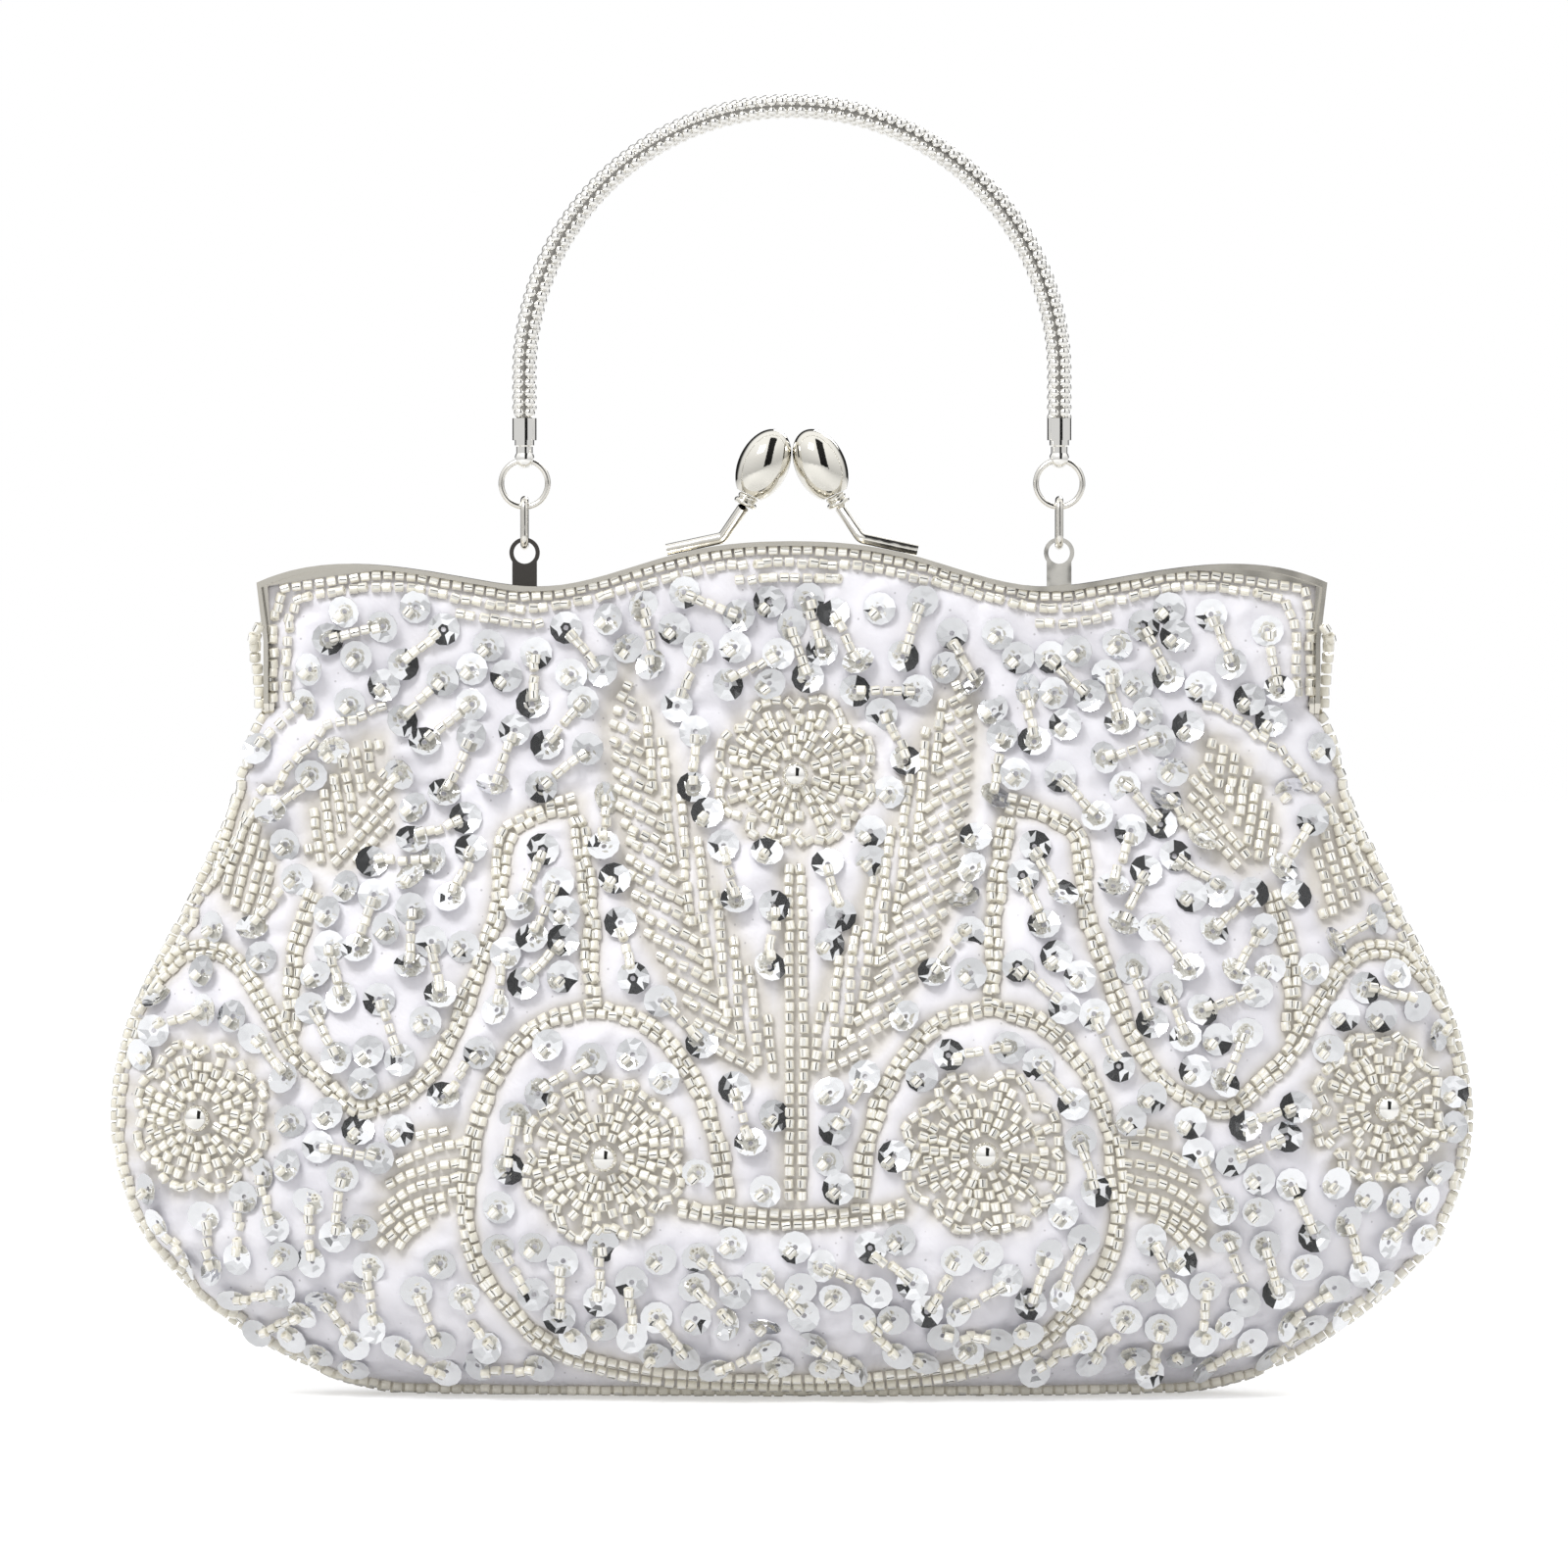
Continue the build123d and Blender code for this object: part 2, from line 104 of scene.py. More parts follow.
BEAD_RADIUS = 0.94
BEAD_LIFT = 0.87  # height of a bead's centre over the satin
BEAD_LENGTH = 1.70
BEAD_PITCH = 2.20
BEAD_STRAY = 0.07  # how unevenly beads are sewn, in mm and in radians
BEAD_ROLL = 0.16  # how unevenly they are rolled about the thread, in radians
ROW_GAP = 2.75  # between the two rows of a double line
FILL_GAP = 2.45  # between the rows of a leaf
SEQUIN_RADIUS = 3.15
TINTS = 3  # shades of each bead and sequin material

rng = random.Random(7)


# ---- Curves and meshes ----
def smooth(points, step):
    """Catmull-Rom curve through the points, with a sample about every step."""
    pts = np.array(points, float)
    ends = np.vstack([2 * pts[0] - pts[1], pts, 2 * pts[-1] - pts[-2]])
    spans = []
    for i in range(len(pts) - 1):
        a, b, c, d = ends[i:i + 4]
        count = max(2, int(np.linalg.norm(c - b) / step))
        t = np.linspace(0, 1, count, endpoint=False)[:, None]
        bend = 2 * a - 5 * b + 4 * c - d + t * (3 * (b - c) + d - a)
        spans.append(b + 0.5 * t * (c - a + t * bend))
    return np.vstack(spans + [pts[-1:]])


def mirrored(points):
    return [(-x, z) for x, z in points]


def unit(v):
    return v / np.maximum(np.linalg.norm(v, axis=-1, keepdims=True), 1e-9)


def add_object(name, data):
    obj = bpy.data.objects.new(name, data)
    bpy.context.scene.collection.objects.link(obj)
    return obj


def new_mesh(name, verts, quads, slots=None, smooth_faces=None):
    """Mesh object from arrays of vertices (mm) and quads."""
    mesh = bpy.data.meshes.new(name)
    mesh.vertices.add(len(verts))
    mesh.vertices.foreach_set("co", (np.asarray(verts, float) * MM).astype(np.float32).ravel())
    mesh.loops.add(len(quads) * 4)
    mesh.loops.foreach_set("vertex_index", np.asarray(quads, np.int32).ravel())
    mesh.polygons.add(len(quads))
    mesh.polygons.foreach_set("loop_start", np.arange(0, len(quads) * 4, 4, dtype=np.int32))
    if slots is not None:
        mesh.polygons.foreach_set("material_index", np.asarray(slots, np.int32))
    if smooth_faces is None:
        smooth_faces = np.ones(len(quads), bool)
    mesh.polygons.foreach_set("use_smooth", smooth_faces)
    mesh.update(calc_edges=True)
    return add_object(name, mesh)


def grid_quads(rows, columns, wrap=False):
    """Quads of a grid of points stored row by row; wrap joins the last column to the first."""
    last = columns if wrap else columns - 1
    r, c = np.meshgrid(np.arange(rows - 1), np.arange(last), indexing="ij")
    n = (c + 1) % columns
    low, high = r * columns, (r + 1) * columns
    return np.stack([low + c, low + n, high + n, high + c], -1).reshape(-1, 4)


def apply_modifiers(obj):
    graph = bpy.context.evaluated_depsgraph_get()
    baked = bpy.data.meshes.new_from_object(obj.evaluated_get(graph))
    obj.modifiers.clear()
    obj.data = baked


def panel_pair(name, verts, quads, materials, slot, replaced=(), **faces):
    """The piece on the front of the bag and its mirror on the back."""
    pair = []
    for side, turn in (("front", 1), ("back", -1)):
        points = np.array(verts, float) * (1, turn, 1)
        obj = new_mesh(f"{side}_{name}", points, np.asarray(quads)[:, ::turn], **faces)
        for material in materials:
            obj.data.materials.append(material)
        if replaced:
            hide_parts(*[f"{side}_{node}" for node in replaced])
        pair.append(obj)
    return pair


def fold(pair):
    """Called once a pair is final: bakes each piece's placement into its mesh."""
    for obj, half in zip(pair, ("front_frame", "back_frame")):
        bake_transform(obj)


# ---- Materials ----
class Tree:
    """The nodes of one material or of the world."""

    def __init__(self, owner):
        owner.use_nodes = True
        self.nodes = owner.node_tree.nodes
        self.links = owner.node_tree.links

    def put(self, value, socket):
        """Gives a socket a number, a colour (r, g, b) or the output of another node."""
        if isinstance(value, bpy.types.NodeSocket):
            self.links.new(value, socket)
        else:
            socket.default_value = (*value, 1) if socket.type == "RGBA" else value

    def fill(self, node, **values):
        for key, value in values.items():
            self.put(value, node.inputs[key.replace("_", " ")])
        return node

    def place(self):
        return self.nodes.new("ShaderNodeTexCoord").outputs["Object"]

    def noise(self, waves, detail):
        """Noise with this many waves in 100 mm."""
        node = self.nodes.new("ShaderNodeTexNoise")
        self.fill(node, Vector=self.place(), Scale=waves / (100 * MM), Detail=detail)
        return node.outputs["Fac"]

    def map_range(self, source, bounds, results, kind="LINEAR"):
        """Maps source from bounds (low, high) to results (at low, at high), held beyond them."""
        node = self.nodes.new("ShaderNodeMapRange")
        node.interpolation_type = kind
        self.fill(node, Value=source, From_Min=bounds[0], From_Max=bounds[1],
                  To_Min=results[0], To_Max=results[1])
        return node.outputs["Result"]

    def mix(self, factor, first, second, kind="RGBA"):
        node = self.nodes.new("ShaderNodeMix")
        node.data_type = kind
        return self.fill(node, Factor=factor, A=first, B=second).outputs["Result"]

    def math(self, operation, *inputs):
        node = self.nodes.new("ShaderNodeMath")
        node.operation = operation
        for value, socket in zip(inputs, node.inputs):
            self.put(value, socket)
        return node.outputs[0]

    def bump(self, bsdf, height, distance, strength, **under):
        """Bumps the surface by distance in mm. Normal=... adds it to an earlier bump."""
        node = self.fill(self.nodes.new("ShaderNodeBump"), Height=height, Distance=distance * MM,
                         Strength=strength, **under)
        self.put(node.outputs["Normal"], bsdf.inputs["Normal"])
        return node.outputs["Normal"]


def shader(name, color, **values):
    """Principled material. Returns the material, its tree and its shader node."""
    material = bpy.data.materials.new(name)
    tree = Tree(material)
    material.diffuse_color = (*color, 1)
    bsdf = tree.fill(tree.nodes["Principled BSDF"], Base_Color=color, **values)
    return material, tree, bsdf


def nickel(name, color, roughness, waves=12, wave_height=0.10):
    """Polished plate with faint waviness and uneven polish."""
    material, tree, bsdf = shader(name, color, Metallic=1.0)
    uneven = tree.map_range(tree.noise(20, 2), (0, 1), (roughness * 0.7, roughness * 1.3))
    tree.put(uneven, bsdf.inputs["Roughness"])
    tree.bump(bsdf, tree.noise(waves, 1), wave_height, 0.5)
    return material


def satin_cloth(name, color, shade, beads=None):
    """Satin with a fine twill and a soft colour drift. With beads: the thread's tint with painted
    shade and light passed through the glass under them, and pricked with painted shade in the
    needle holes.
    """
    material, tree, bsdf = shader(name, color, Roughness=0.5,
                                  Sheen_Weight=0.25, Sheen_Roughness=0.4)
    result = tree.mix(tree.map_range(tree.noise(4, 2), (0, 1), (-0.35, 1.1)), color, shade)
    if beads is not None:
        # under the beads: the thread's tint with painted shade and painted light passed through the
        # glass beads
        near = tree.nodes.new("ShaderNodeAttribute")
        near.attribute_name = "thread_and_bead_shade"
        result = tree.mix(near.outputs["Fac"], result, beads)
        # painted shade in the needle holes: small dark specks over the beaded satin
        pricks = tree.nodes.new("ShaderNodeTexVoronoi")
        tree.fill(pricks, Vector=tree.place(), Scale=0.36 / MM)
        hole = tree.map_range(pricks.outputs["Distance"], (0.06, 0.10), (0.55, 0.0))
        result = tree.mix(hole, result, PRICK_SHADE)
    tree.put(result, bsdf.inputs["Base Color"])
    twill = tree.nodes.new("ShaderNodeTexWave")
    twill.bands_direction = "DIAGONAL"
    tree.fill(twill, Vector=tree.place(), Scale=0.45 / MM, Distortion=0.6)
    weave = tree.bump(bsdf, twill.outputs["Fac"], 0.02, 0.25)
    tree.bump(bsdf, tree.noise(38, 4), 0.35, 0.5, Normal=weave)
    return material


def tinted(name, color, spread_by, **values):
    """TINTS shades of one plain glassy or metallic finish, for bead and sequin slots."""
    shades = []
    for i in range(TINTS):
        factor = max(0.12, 1 + spread_by * (i - (TINTS - 1) / 2) / (TINTS - 1))
        shade = tuple(min(1.0, c * factor) for c in color)
        shades.append(shader(f"{name}_{i + 1}", shade, **values)[0])
    return shades


# painted shade seen in the needle holes
PRICK_SHADE = (0.30, 0.28, 0.30)

FRAME_METAL = nickel("polished_nickel_frame", (0.72, 0.69, 0.62), 0.14, 10, 0.3)
BALL_METAL = nickel("polished_nickel_balls", (0.76, 0.74, 0.68), 0.06, 14, 0.7)
CHAIN_METAL = nickel("polished_nickel_fittings", (0.76, 0.74, 0.69), 0.12, 25, 0.3)
# painted dark reflection: the left tab is polished nickel like the right one, made near black where
# it mirrors the studio's dark
TAB_DARK_REFLECTION = nickel("tab_painted_dark_reflection", (0.09, 0.084, 0.078), 0.2)
STUD_METAL = nickel("bright_cap_metal", (0.90, 0.89, 0.86), 0.07)
# painted shade: the handle's core made darker than any metal, so that the seam between the front
# lump columns reads as shade
CORE_SEAM_SHADE = nickel("chain_core_painted_shade", (0.30, 0.29, 0.27), 0.35)
# its third colour is painted shade and light from the beads, with the thread's tint, on the satin
# under them
SATIN = satin_cloth("lavender_white_satin", (0.79, 0.78, 0.82), (0.67, 0.655, 0.70),
                    (0.60, 0.565, 0.50))
LINING = satin_cloth("lining_satin", (0.66, 0.65, 0.69), (0.58, 0.57, 0.61))
# the silver lining seen through the glass, brightened as a painted highlight on the top of each
# bead only
BEAD_LINING_HIGHLIGHTS = tinted("bead_lining_painted_highlight", (0.93, 0.92, 0.875), 0.10,
                    Metallic=0.5, Roughness=0.25, Coat_Weight=0.8, Coat_Roughness=0.04)
# painted reflection: the dark streak along each bead's top, the studio's dark mirrored in the
# lining
BEAD_DARK_REFLECTIONS = tinted("bead_painted_dark_reflection", (0.42, 0.41, 0.38), 1.7,
                      Metallic=0.6, Roughness=0.2, Coat_Weight=0.6)
# the glass's emission is painted light, for light passed through the clear glass to lift its dark
# sides
BEAD_GLASS_AND_GLOW = tinted("bead_glass_painted_glow", (0.64, 0.615, 0.53), 0.12, Metallic=0.0, Roughness=0.14,
                    Coat_Weight=0.9, Coat_Roughness=0.04,
                    Emission_Color=(0.74, 0.70, 0.61), Emission_Strength=0.16)
SEQUIN_FOIL = tinted("sequin_foil", (0.79, 0.80, 0.82), 0.26, Metallic=0.95, Roughness=0.07)
CHAIN_LINKS = tinted("chain_links", (0.86, 0.85, 0.82), 0.06, Metallic=1.0, Roughness=0.2)

PAIRED_METALS = {
    "hinge_rivet": FRAME_METAL, "clasp_post": CHAIN_METAL, "clasp_collar": BALL_METAL,
    "clasp_ball": BALL_METAL, "oval_link": CHAIN_METAL, "jump_ring": CHAIN_METAL,
    "end_cap": STUD_METAL,
}
NODE_METALS = {
    "front_frame": FRAME_METAL, "back_frame": FRAME_METAL, "handle_core": CORE_SEAM_SHADE,
    "left_handle_tab": TAB_DARK_REFLECTION, "right_handle_tab": CHAIN_METAL,
    "front_flower_studs": STUD_METAL, "back_flower_studs": STUD_METAL,
}
for part, metal in PAIRED_METALS.items():
    NODE_METALS[f"left_{part}"] = metal
    NODE_METALS[f"right_{part}"] = metal


def paint_nodes():
    for node, material in NODE_METALS.items():
        slots = frame["nodes"][node].data.materials
        if not slots:
            slots.append(material)
        for i in range(len(slots)):
            slots[i] = material


# ---- Motifs of the beadwork, seen from the front ----
# flowers: middle and radius
FLOWERS = (
    (0.6, 118.3, 16.3), (-35.3, 46.8, 16.5), (36.2, 47.4, 16.5), (-112.0, 53.5, 15.2),
    (112.0, 55.3, 15.2),
)
STEM = ((0.8, 101.4), (0.9, 70), (0.8, 38.7))
BASE_BAR = ((-21.4, 37.6), (-12, 36.0), (-2.8, 35.3), (9, 35.8), (21.3, 37.3))
ARCH = (
    (-12.3, 39.1), (-13.7, 48.1), (-17.6, 59.7), (-25.4, 70.3), (-35.9, 74.4), (-46.4, 72.0),
    (-54.2, 64.3), (-58.7, 54.6), (-60.8, 41.5), (-60.0, 29.9), (-55, 20.6), (-46, 11.5),
    (-33, 6.6), (-17, 4.4), (0, 3.8),
)
SCROLL = (
    (-40.6, 113), (-47.7, 110.7), (-53.5, 107.3), (-54.6, 103.2), (-55.4, 93.9), (-58, 84.3),
    (-60.8, 76.7), (-64.1, 69), (-68.8, 61.7), (-75.4, 57), (-81.9, 55.7), (-87.5, 60),
    (-94.1, 66.2), (-99.5, 74.8), (-104.3, 81.7), (-109.6, 85), (-115.6, 83.6), (-120.2, 79.3),
    (-123.8, 75.2),
)
INNER_POST = ((-40.6, 110.0), (-39.5, 103.2), (-38.1, 92), (-37.6, 77))
SIDE_POST = ((-90.5, 96.1), (-92, 91.4), (-93.7, 84.7), (-94.2, 77.6), (-94, 69.6))
FEATHER_SPINE = ((-29, 124.4), (-24.1, 107.9), (-21.3, 96.9), (-17.4, 86), (-13.7, 75), (-6.5, 64))
FEATHER_RIGHT = (
    (-28.6, 132.5), (-23.5, 122.7), (-21, 113.3), (-17.5, 105.1), (-14.7, 96.9), (-11.4, 88.1),
    (-8.7, 83.7), (-5.4, 75), (-3.2, 68.4), (-3.2, 61.8),
)
FEATHER_LEFT = (
    (-30.6, 139.1), (-34.5, 129.8), (-33.9, 119.4), (-32.8, 111.1), (-31.7, 106.8), (-30.6, 98),
    (-27.3, 88.7), (-22.4, 79.9), (-16.4, 68.9), (-7, 62),
)
UPPER_LEAF_OUTER = (
    (-84, 122.9), (-79.6, 125.4), (-77.0, 124.6), (-79.2, 119.6), (-83.2, 110.6), (-87.2, 102.2),
    (-89.6, 101), (-92.2, 103.6), (-91.8, 110.1), (-90.5, 112.9), (-88.5, 116.3), (-86.4, 120.1),
)
UPPER_LEAF_INNER = (
    (-78.2, 120.8), (-75.6, 118.6), (-75.6, 110), (-77.2, 106.2), (-80.6, 102.8), (-85.6, 100.2),
    (-87.2, 101.2), (-82.2, 110.8),
)
OUTER_LEAF = (
    (-107.7, 115.2), (-104, 112.4), (-101.7, 109.2), (-99.5, 105.3), (-98.2, 101), (-99.5, 95.9),
    (-100, 90.5), (-102.9, 91.1), (-106.6, 93.3), (-110, 98.2), (-110.5, 101.5), (-108.8, 108.6),
)
# curved rows of the small leaf beside the arch, from its root on the arch outwards
FERN_ROWS = (
    ((-64.2, 51.9), (-70.8, 50.6)), ((-61.2, 49.2), (-66.5, 48.6), (-74.8, 45.4)),
    ((-62, 45.9), (-69.9, 44.2), (-76.4, 41.3)), ((-62.2, 43.0), (-71.0, 40.9), (-77.6, 36.6)),
    ((-62.6, 40.3), (-71.4, 37.7), (-78.2, 32.9)), ((-64.4, 37.6), (-71.8, 34.9), (-77.8, 29.8)),
    ((-68.2, 34.6), (-72.0, 32.2), (-74.2, 29.4)),
)
VINES = (ARCH, SCROLL, INNER_POST, SIDE_POST)
# leaves, with the angle of their rows
LEAVES = ((UPPER_LEAF_OUTER, 100), (UPPER_LEAF_INNER, 48), (OUTER_LEAF, 75))


def hatch(polygon, angle, gap):
    """Parallel segments across a polygon, gap apart, at angle degrees to the horizontal."""
    turn = math.radians(angle)
    along = np.array((math.cos(turn), math.sin(turn)))
    across = np.array((-along[1], along[0]))
    pts = np.array(polygon, float)
    u, v = pts @ along, pts @ across
    segments = []
    for level in np.arange(v.min() + gap / 2, v.max(), gap):
        cuts = []
        for i in range(len(pts)):
            j = (i + 1) % len(pts)
            if (v[i] > level) != (v[j] > level):
                cuts.append(u[i] + (u[j] - u[i]) * (level - v[i]) / (v[j] - v[i]))
        cuts.sort()
        for start, end in zip(cuts[::2], cuts[1::2]):
            segments.append((along * start + across * level, along * end + across * level))
    return segments


# ---- Satin panels ----
def crest_height(x):
    """Height of the top of the frame at x."""
    half = smooth([(-FRAME_CREST[1][0], FRAME_CREST[1][1])] + list(FRAME_CREST), 1.0)
    return np.interp(np.abs(x), half[:, 0], half[:, 1])


def bow(t, depth, power):
    """Forward curve of one section from side to side, flatter in the middle for a higher power."""
    return -depth * (1 - np.abs(np.sin(t)) ** power) ** (1 / power)


def panel_points(inset=0.0, flap_depth=FLAP_DEPTH, edge_depth=FLAP_EDGE_DEPTH, step=1.25):
    """Grid of points of the front panel, rows from the bottom seam up into the frame."""
    columns = int(2 * HALF_WIDTH_MM / step) // 2 * 2 + 1
    u = np.linspace(-1, 1, columns)
    t = math.pi / 2 * (0.62 * u + 0.38 * u ** 3)
    rows = []
    for z, a, b in smooth(PANEL_PROFILE, step):
        power = 2 + 4 * np.clip((z - 116) / 15, 0, 1)
        height = inset + z * (FLAP_START_Z - inset) / FLAP_START_Z
        a = max(a - inset, 1)
        b = max(min(b, b - inset * min(1, b / 12)), 0)
        if inset:
            b = max(b, flap_depth) if z > 60 else b
        x = a * np.sin(t)
        rows.append(np.stack([x, bow(t, b, power), np.full_like(x, height)], -1))
    base_depth = -rows[-1][:, 1].min()
    count = int(30 / step)
    for i in range(1, count + 1):
        w = i / count
        a = FLAP_HALF_WIDTH - inset * 0.25 + (FLAP_TOP_HALF_WIDTH - FLAP_HALF_WIDTH) * w
        power = 6 + 8 * w
        depth = flap_depth + (base_depth - flap_depth) * (1 - w) ** 3
        x = a * np.sin(t)
        y = np.minimum(bow(t, depth, power), -edge_depth * min(1, 3 * w))
        top = crest_height(x) - RIM_INSET
        rows.append(np.stack([x, y, FLAP_START_Z + (top - FLAP_START_Z) * w], -1))
    return np.array(rows)


def grid_normals(points):
    across = np.gradient(points, axis=1)
    up = np.gradient(points, axis=0)
    return unit(np.cross(across, up))


def motif_field(points, spots, reach):
    """How near each point is to the sewn beads, 1 on them and 0 beyond reach."""
    tree = KDTree(len(spots))
    for i, (x, z) in enumerate(spots):
        tree.insert((x, 0, z), i)
    tree.balance()
    flat = points.reshape(-1, 3)
    gap = np.array([tree.find((p[0], 0, p[2]))[2] for p in flat])
    return np.exp(-(gap / reach) ** 2).reshape(points.shape[:2])


PUFF = 0.70  # heights of the satin's folds
CREASE = 0.62
FINE_FOLD = 0.20
GATHER = 0.35
SEWN_DEPTH = 0.70  # how far beads pull the satin in


def wrinkle(points, near):
    """Height to add to the satin: puffs between the beads, creases, gathers under the frame."""
    rows, columns = points.shape[:2]
    height = np.zeros((rows, columns))
    for r in range(rows):
        for c in range(columns):
            x, y, z = points[r, c]
            broad = noise.noise((x / 17, y / 17, z / 17))
            crease = 1 - abs(noise.noise((x / 8.5 + 9, y / 8.5, z / 7.0))) * 2
            fine = noise.noise((x / 3.1, y / 3.1, z / 3.1 + 5))
            height[r, c] = PUFF * broad + CREASE * crease * abs(crease) + FINE_FOLD * fine
    x, z = points[..., 0], points[..., 2]
    below_rim = np.clip(crest_height(x) - z, 0, None)
    gathers = np.sin(x / 1.9 + 1.4 * np.sin(x / 11)) * GATHER * np.exp(-below_rim / 9)
    height = (height + gathers) * (1 - 0.7 * near) - SEWN_DEPTH * near + 0.25
    side = np.clip((1 - np.abs(np.linspace(-1, 1, columns))) / 0.10, 0, 1)[None, :]
    fade = side * np.clip((z - 2.2) / 8, 0, 1) * np.clip((below_rim - 2) / 3, 0, 1)
    return height * fade


def motif_spots():
    """Points of the plan where beads are sewn, for pulling the satin in."""
    lines = [STEM, BASE_BAR, *VINES, FEATHER_SPINE, FEATHER_LEFT, FEATHER_RIGHT, *FERN_ROWS]
    spots = []
    for line in lines:
        for copy in (line, mirrored(line)):
            spots.extend(smooth(copy, 1.5))
    for polygon, _ in LEAVES:
        for copy in (polygon, mirrored(polygon)):
            for start, end in hatch(copy, 90, 2.5):
                spots.extend(smooth([start, end], 1.5))
    for cx, cz, radius in FLOWERS:
        for r in np.arange(2, radius, 3):
            for t in np.arange(0, math.tau, 0.4):
                spots.append((cx + r * math.cos(t), cz + r * math.sin(t)))
    return spots


SIM_SCALE = 0.01  # the cloth is simulated with one millimetre as a centimetre
SIM_FRAMES = 18
SIM_CAP = 1.3  # mm a point may move
BASE_HELD_Z = 5.0  # the base under this height stays flat


def puff_cloth(points, near):
    """Cloth simulation: satin a little too large for its place, puffed and held by its beads."""
    coarse = points[::2, ::2]
    held = near[::2, ::2] > 0.55
    held |= coarse[..., 2] < BASE_HELD_Z
    held[[-1, -2], :] = True
    held[:, [0, 1, -1, -2]] = True
    rows, columns = coarse.shape[:2]
    obj = new_mesh("cloth_trial", coarse.reshape(-1, 3), grid_quads(rows, columns))
    obj.data.transform(Matrix.Scale(SIM_SCALE / MM, 4))
    pins = obj.vertex_groups.new(name="held")
    pins.add([int(i) for i in np.flatnonzero(held)], 1.0, "REPLACE")
    cloth = obj.modifiers.new("cloth", "CLOTH")
    settings = cloth.settings
    settings.quality = 6
    settings.mass = 0.2
    settings.vertex_group_mass = "held"
    settings.tension_stiffness = 25
    settings.compression_stiffness = 10
    settings.shear_stiffness = 8
    settings.bending_stiffness = 0.6
    settings.shrink_min = -0.035
    settings.use_pressure = True
    settings.uniform_pressure_force = 2.0
    settings.effector_weights.gravity = 0
    cloth.collision_settings.use_collision = False
    cloth.collision_settings.use_self_collision = False
    cloth.point_cache.frame_start = 1
    cloth.point_cache.frame_end = SIM_FRAMES
    scene = bpy.context.scene
    for step in range(1, SIM_FRAMES + 1):
        scene.frame_set(step)
    final = obj.evaluated_get(bpy.context.evaluated_depsgraph_get()).data
    moved = np.zeros(rows * columns * 3, np.float32)
    final.vertices.foreach_get("co", moved)
    scene.frame_set(1)
    bpy.data.objects.remove(obj)
    shift = moved.reshape(rows, columns, 3) / SIM_SCALE - coarse
    size = np.linalg.norm(shift, axis=-1, keepdims=True)
    shift *= np.minimum(1, SIM_CAP / np.maximum(size, 1e-6))
    return points + stretched(shift, points.shape)


def stretched(shift, shape):
    """Movements known at every second row and column, filled in for all of them."""
    rows, columns = shift.shape[:2]
    r = np.clip(np.arange(shape[0]) / 2, 0, rows - 1)
    c = np.clip(np.arange(shape[1]) / 2, 0, columns - 1)
    by_row = np.array([[np.interp(c, np.arange(columns), line[:, k]) for k in range(3)]
                       for line in shift])
    filled = np.array([[np.interp(r, np.arange(rows), by_row[:, k, i]) for k in range(3)]
                       for i in range(shape[1])])
    return filled.transpose(2, 0, 1)


def build_satin():
    points = panel_points()
    near = motif_field(points, motif_spots(), 2.6)
    points = puff_cloth(points, near)
    points = points + grid_normals(points) * wrinkle(points, near)[..., None]
    quads = grid_quads(*points.shape[:2])
    verts = points.reshape(-1, 3)
    surface = BVHTree.FromPolygons(verts.tolist(), quads.tolist())
    pair = panel_pair("satin_cover", verts, quads, [SATIN], "satin",
                      ("satin_panel", "flap_satin", "padding"))
    for obj in pair:
        # weight of the thread tint and the painted shade under the beads, read by the satin
        # material
        field = obj.data.attributes.new("thread_and_bead_shade", "FLOAT", "POINT")
        field.data.foreach_set("value", (0.75 * near).astype(np.float32).ravel())
        thicken(obj, 0.35)
    fold(pair)
    return surface, points


def thicken(obj, thickness):
    """Closes a sheet into a thin solid, inwards."""
    solid = obj.modifiers.new("thickness", "SOLIDIFY")
    solid.thickness = thickness * MM
    solid.offset = -1
    apply_modifiers(obj)


def build_lining():
    points = panel_points(inset=4.0, flap_depth=0.7, edge_depth=0.0, step=2.4)
    soft = np.zeros(points.shape[:2])
    for r in range(soft.shape[0]):
        for c in range(soft.shape[1]):
            x, y, z = points[r, c]
            broad = noise.noise((x / 21, y / 21 + 3, z / 30))
            fine = noise.noise((x / 7, y / 7, z / 12))
            soft[r, c] = 0.8 * broad + 0.3 * fine
    z = points[..., 2]
    soft *= np.clip((z - 6) / 8, 0, 1) * np.clip((120 - z) / 12, 0, 1)
    points = points + grid_normals(points) * soft[..., None]
    pair = panel_pair("lining_sheet", points.reshape(-1, 3), grid_quads(*points.shape[:2])[:, ::-1],
                      [LINING], "lining", ("lining", "flap_lining"))
    for obj in pair:
        thicken(obj, 0.3)
    fold(pair)


# ---- Laying beads on the satin ----
class Panel:
    """The finished front satin: gives the point and outward normal under a place on the plan."""

    def __init__(self, surface):
        self.surface = surface

    def seen_at(self, x, z):
        hit, normal, _, _ = self.surface.ray_cast(Vector((x, -200, z)), Vector((0, 1, 0)))
        if hit is None:
            hit, normal, _, _ = self.surface.find_nearest(Vector((x, -3, z)))
        return hit, self.outward(hit, normal)

    def nearest(self, point):
        hit, normal, _, _ = self.surface.find_nearest(Vector(point))
        return hit, self.outward(hit, normal)

    @staticmethod
    def outward(hit, normal):
        away = Vector((hit.x * 0.05, hit.y, (hit.z - 70) * 0.05))
        return normal if normal.dot(away) > 0 else -normal

    def patch(self, x, z):
        """Centre, rightward and upward directions of the surface at a place on the plan."""
        centre, normal = self.seen_at(x, z)
        right = Vector((0, 0, 1)).cross(normal).normalized()
        return centre, right, normal.cross(right)


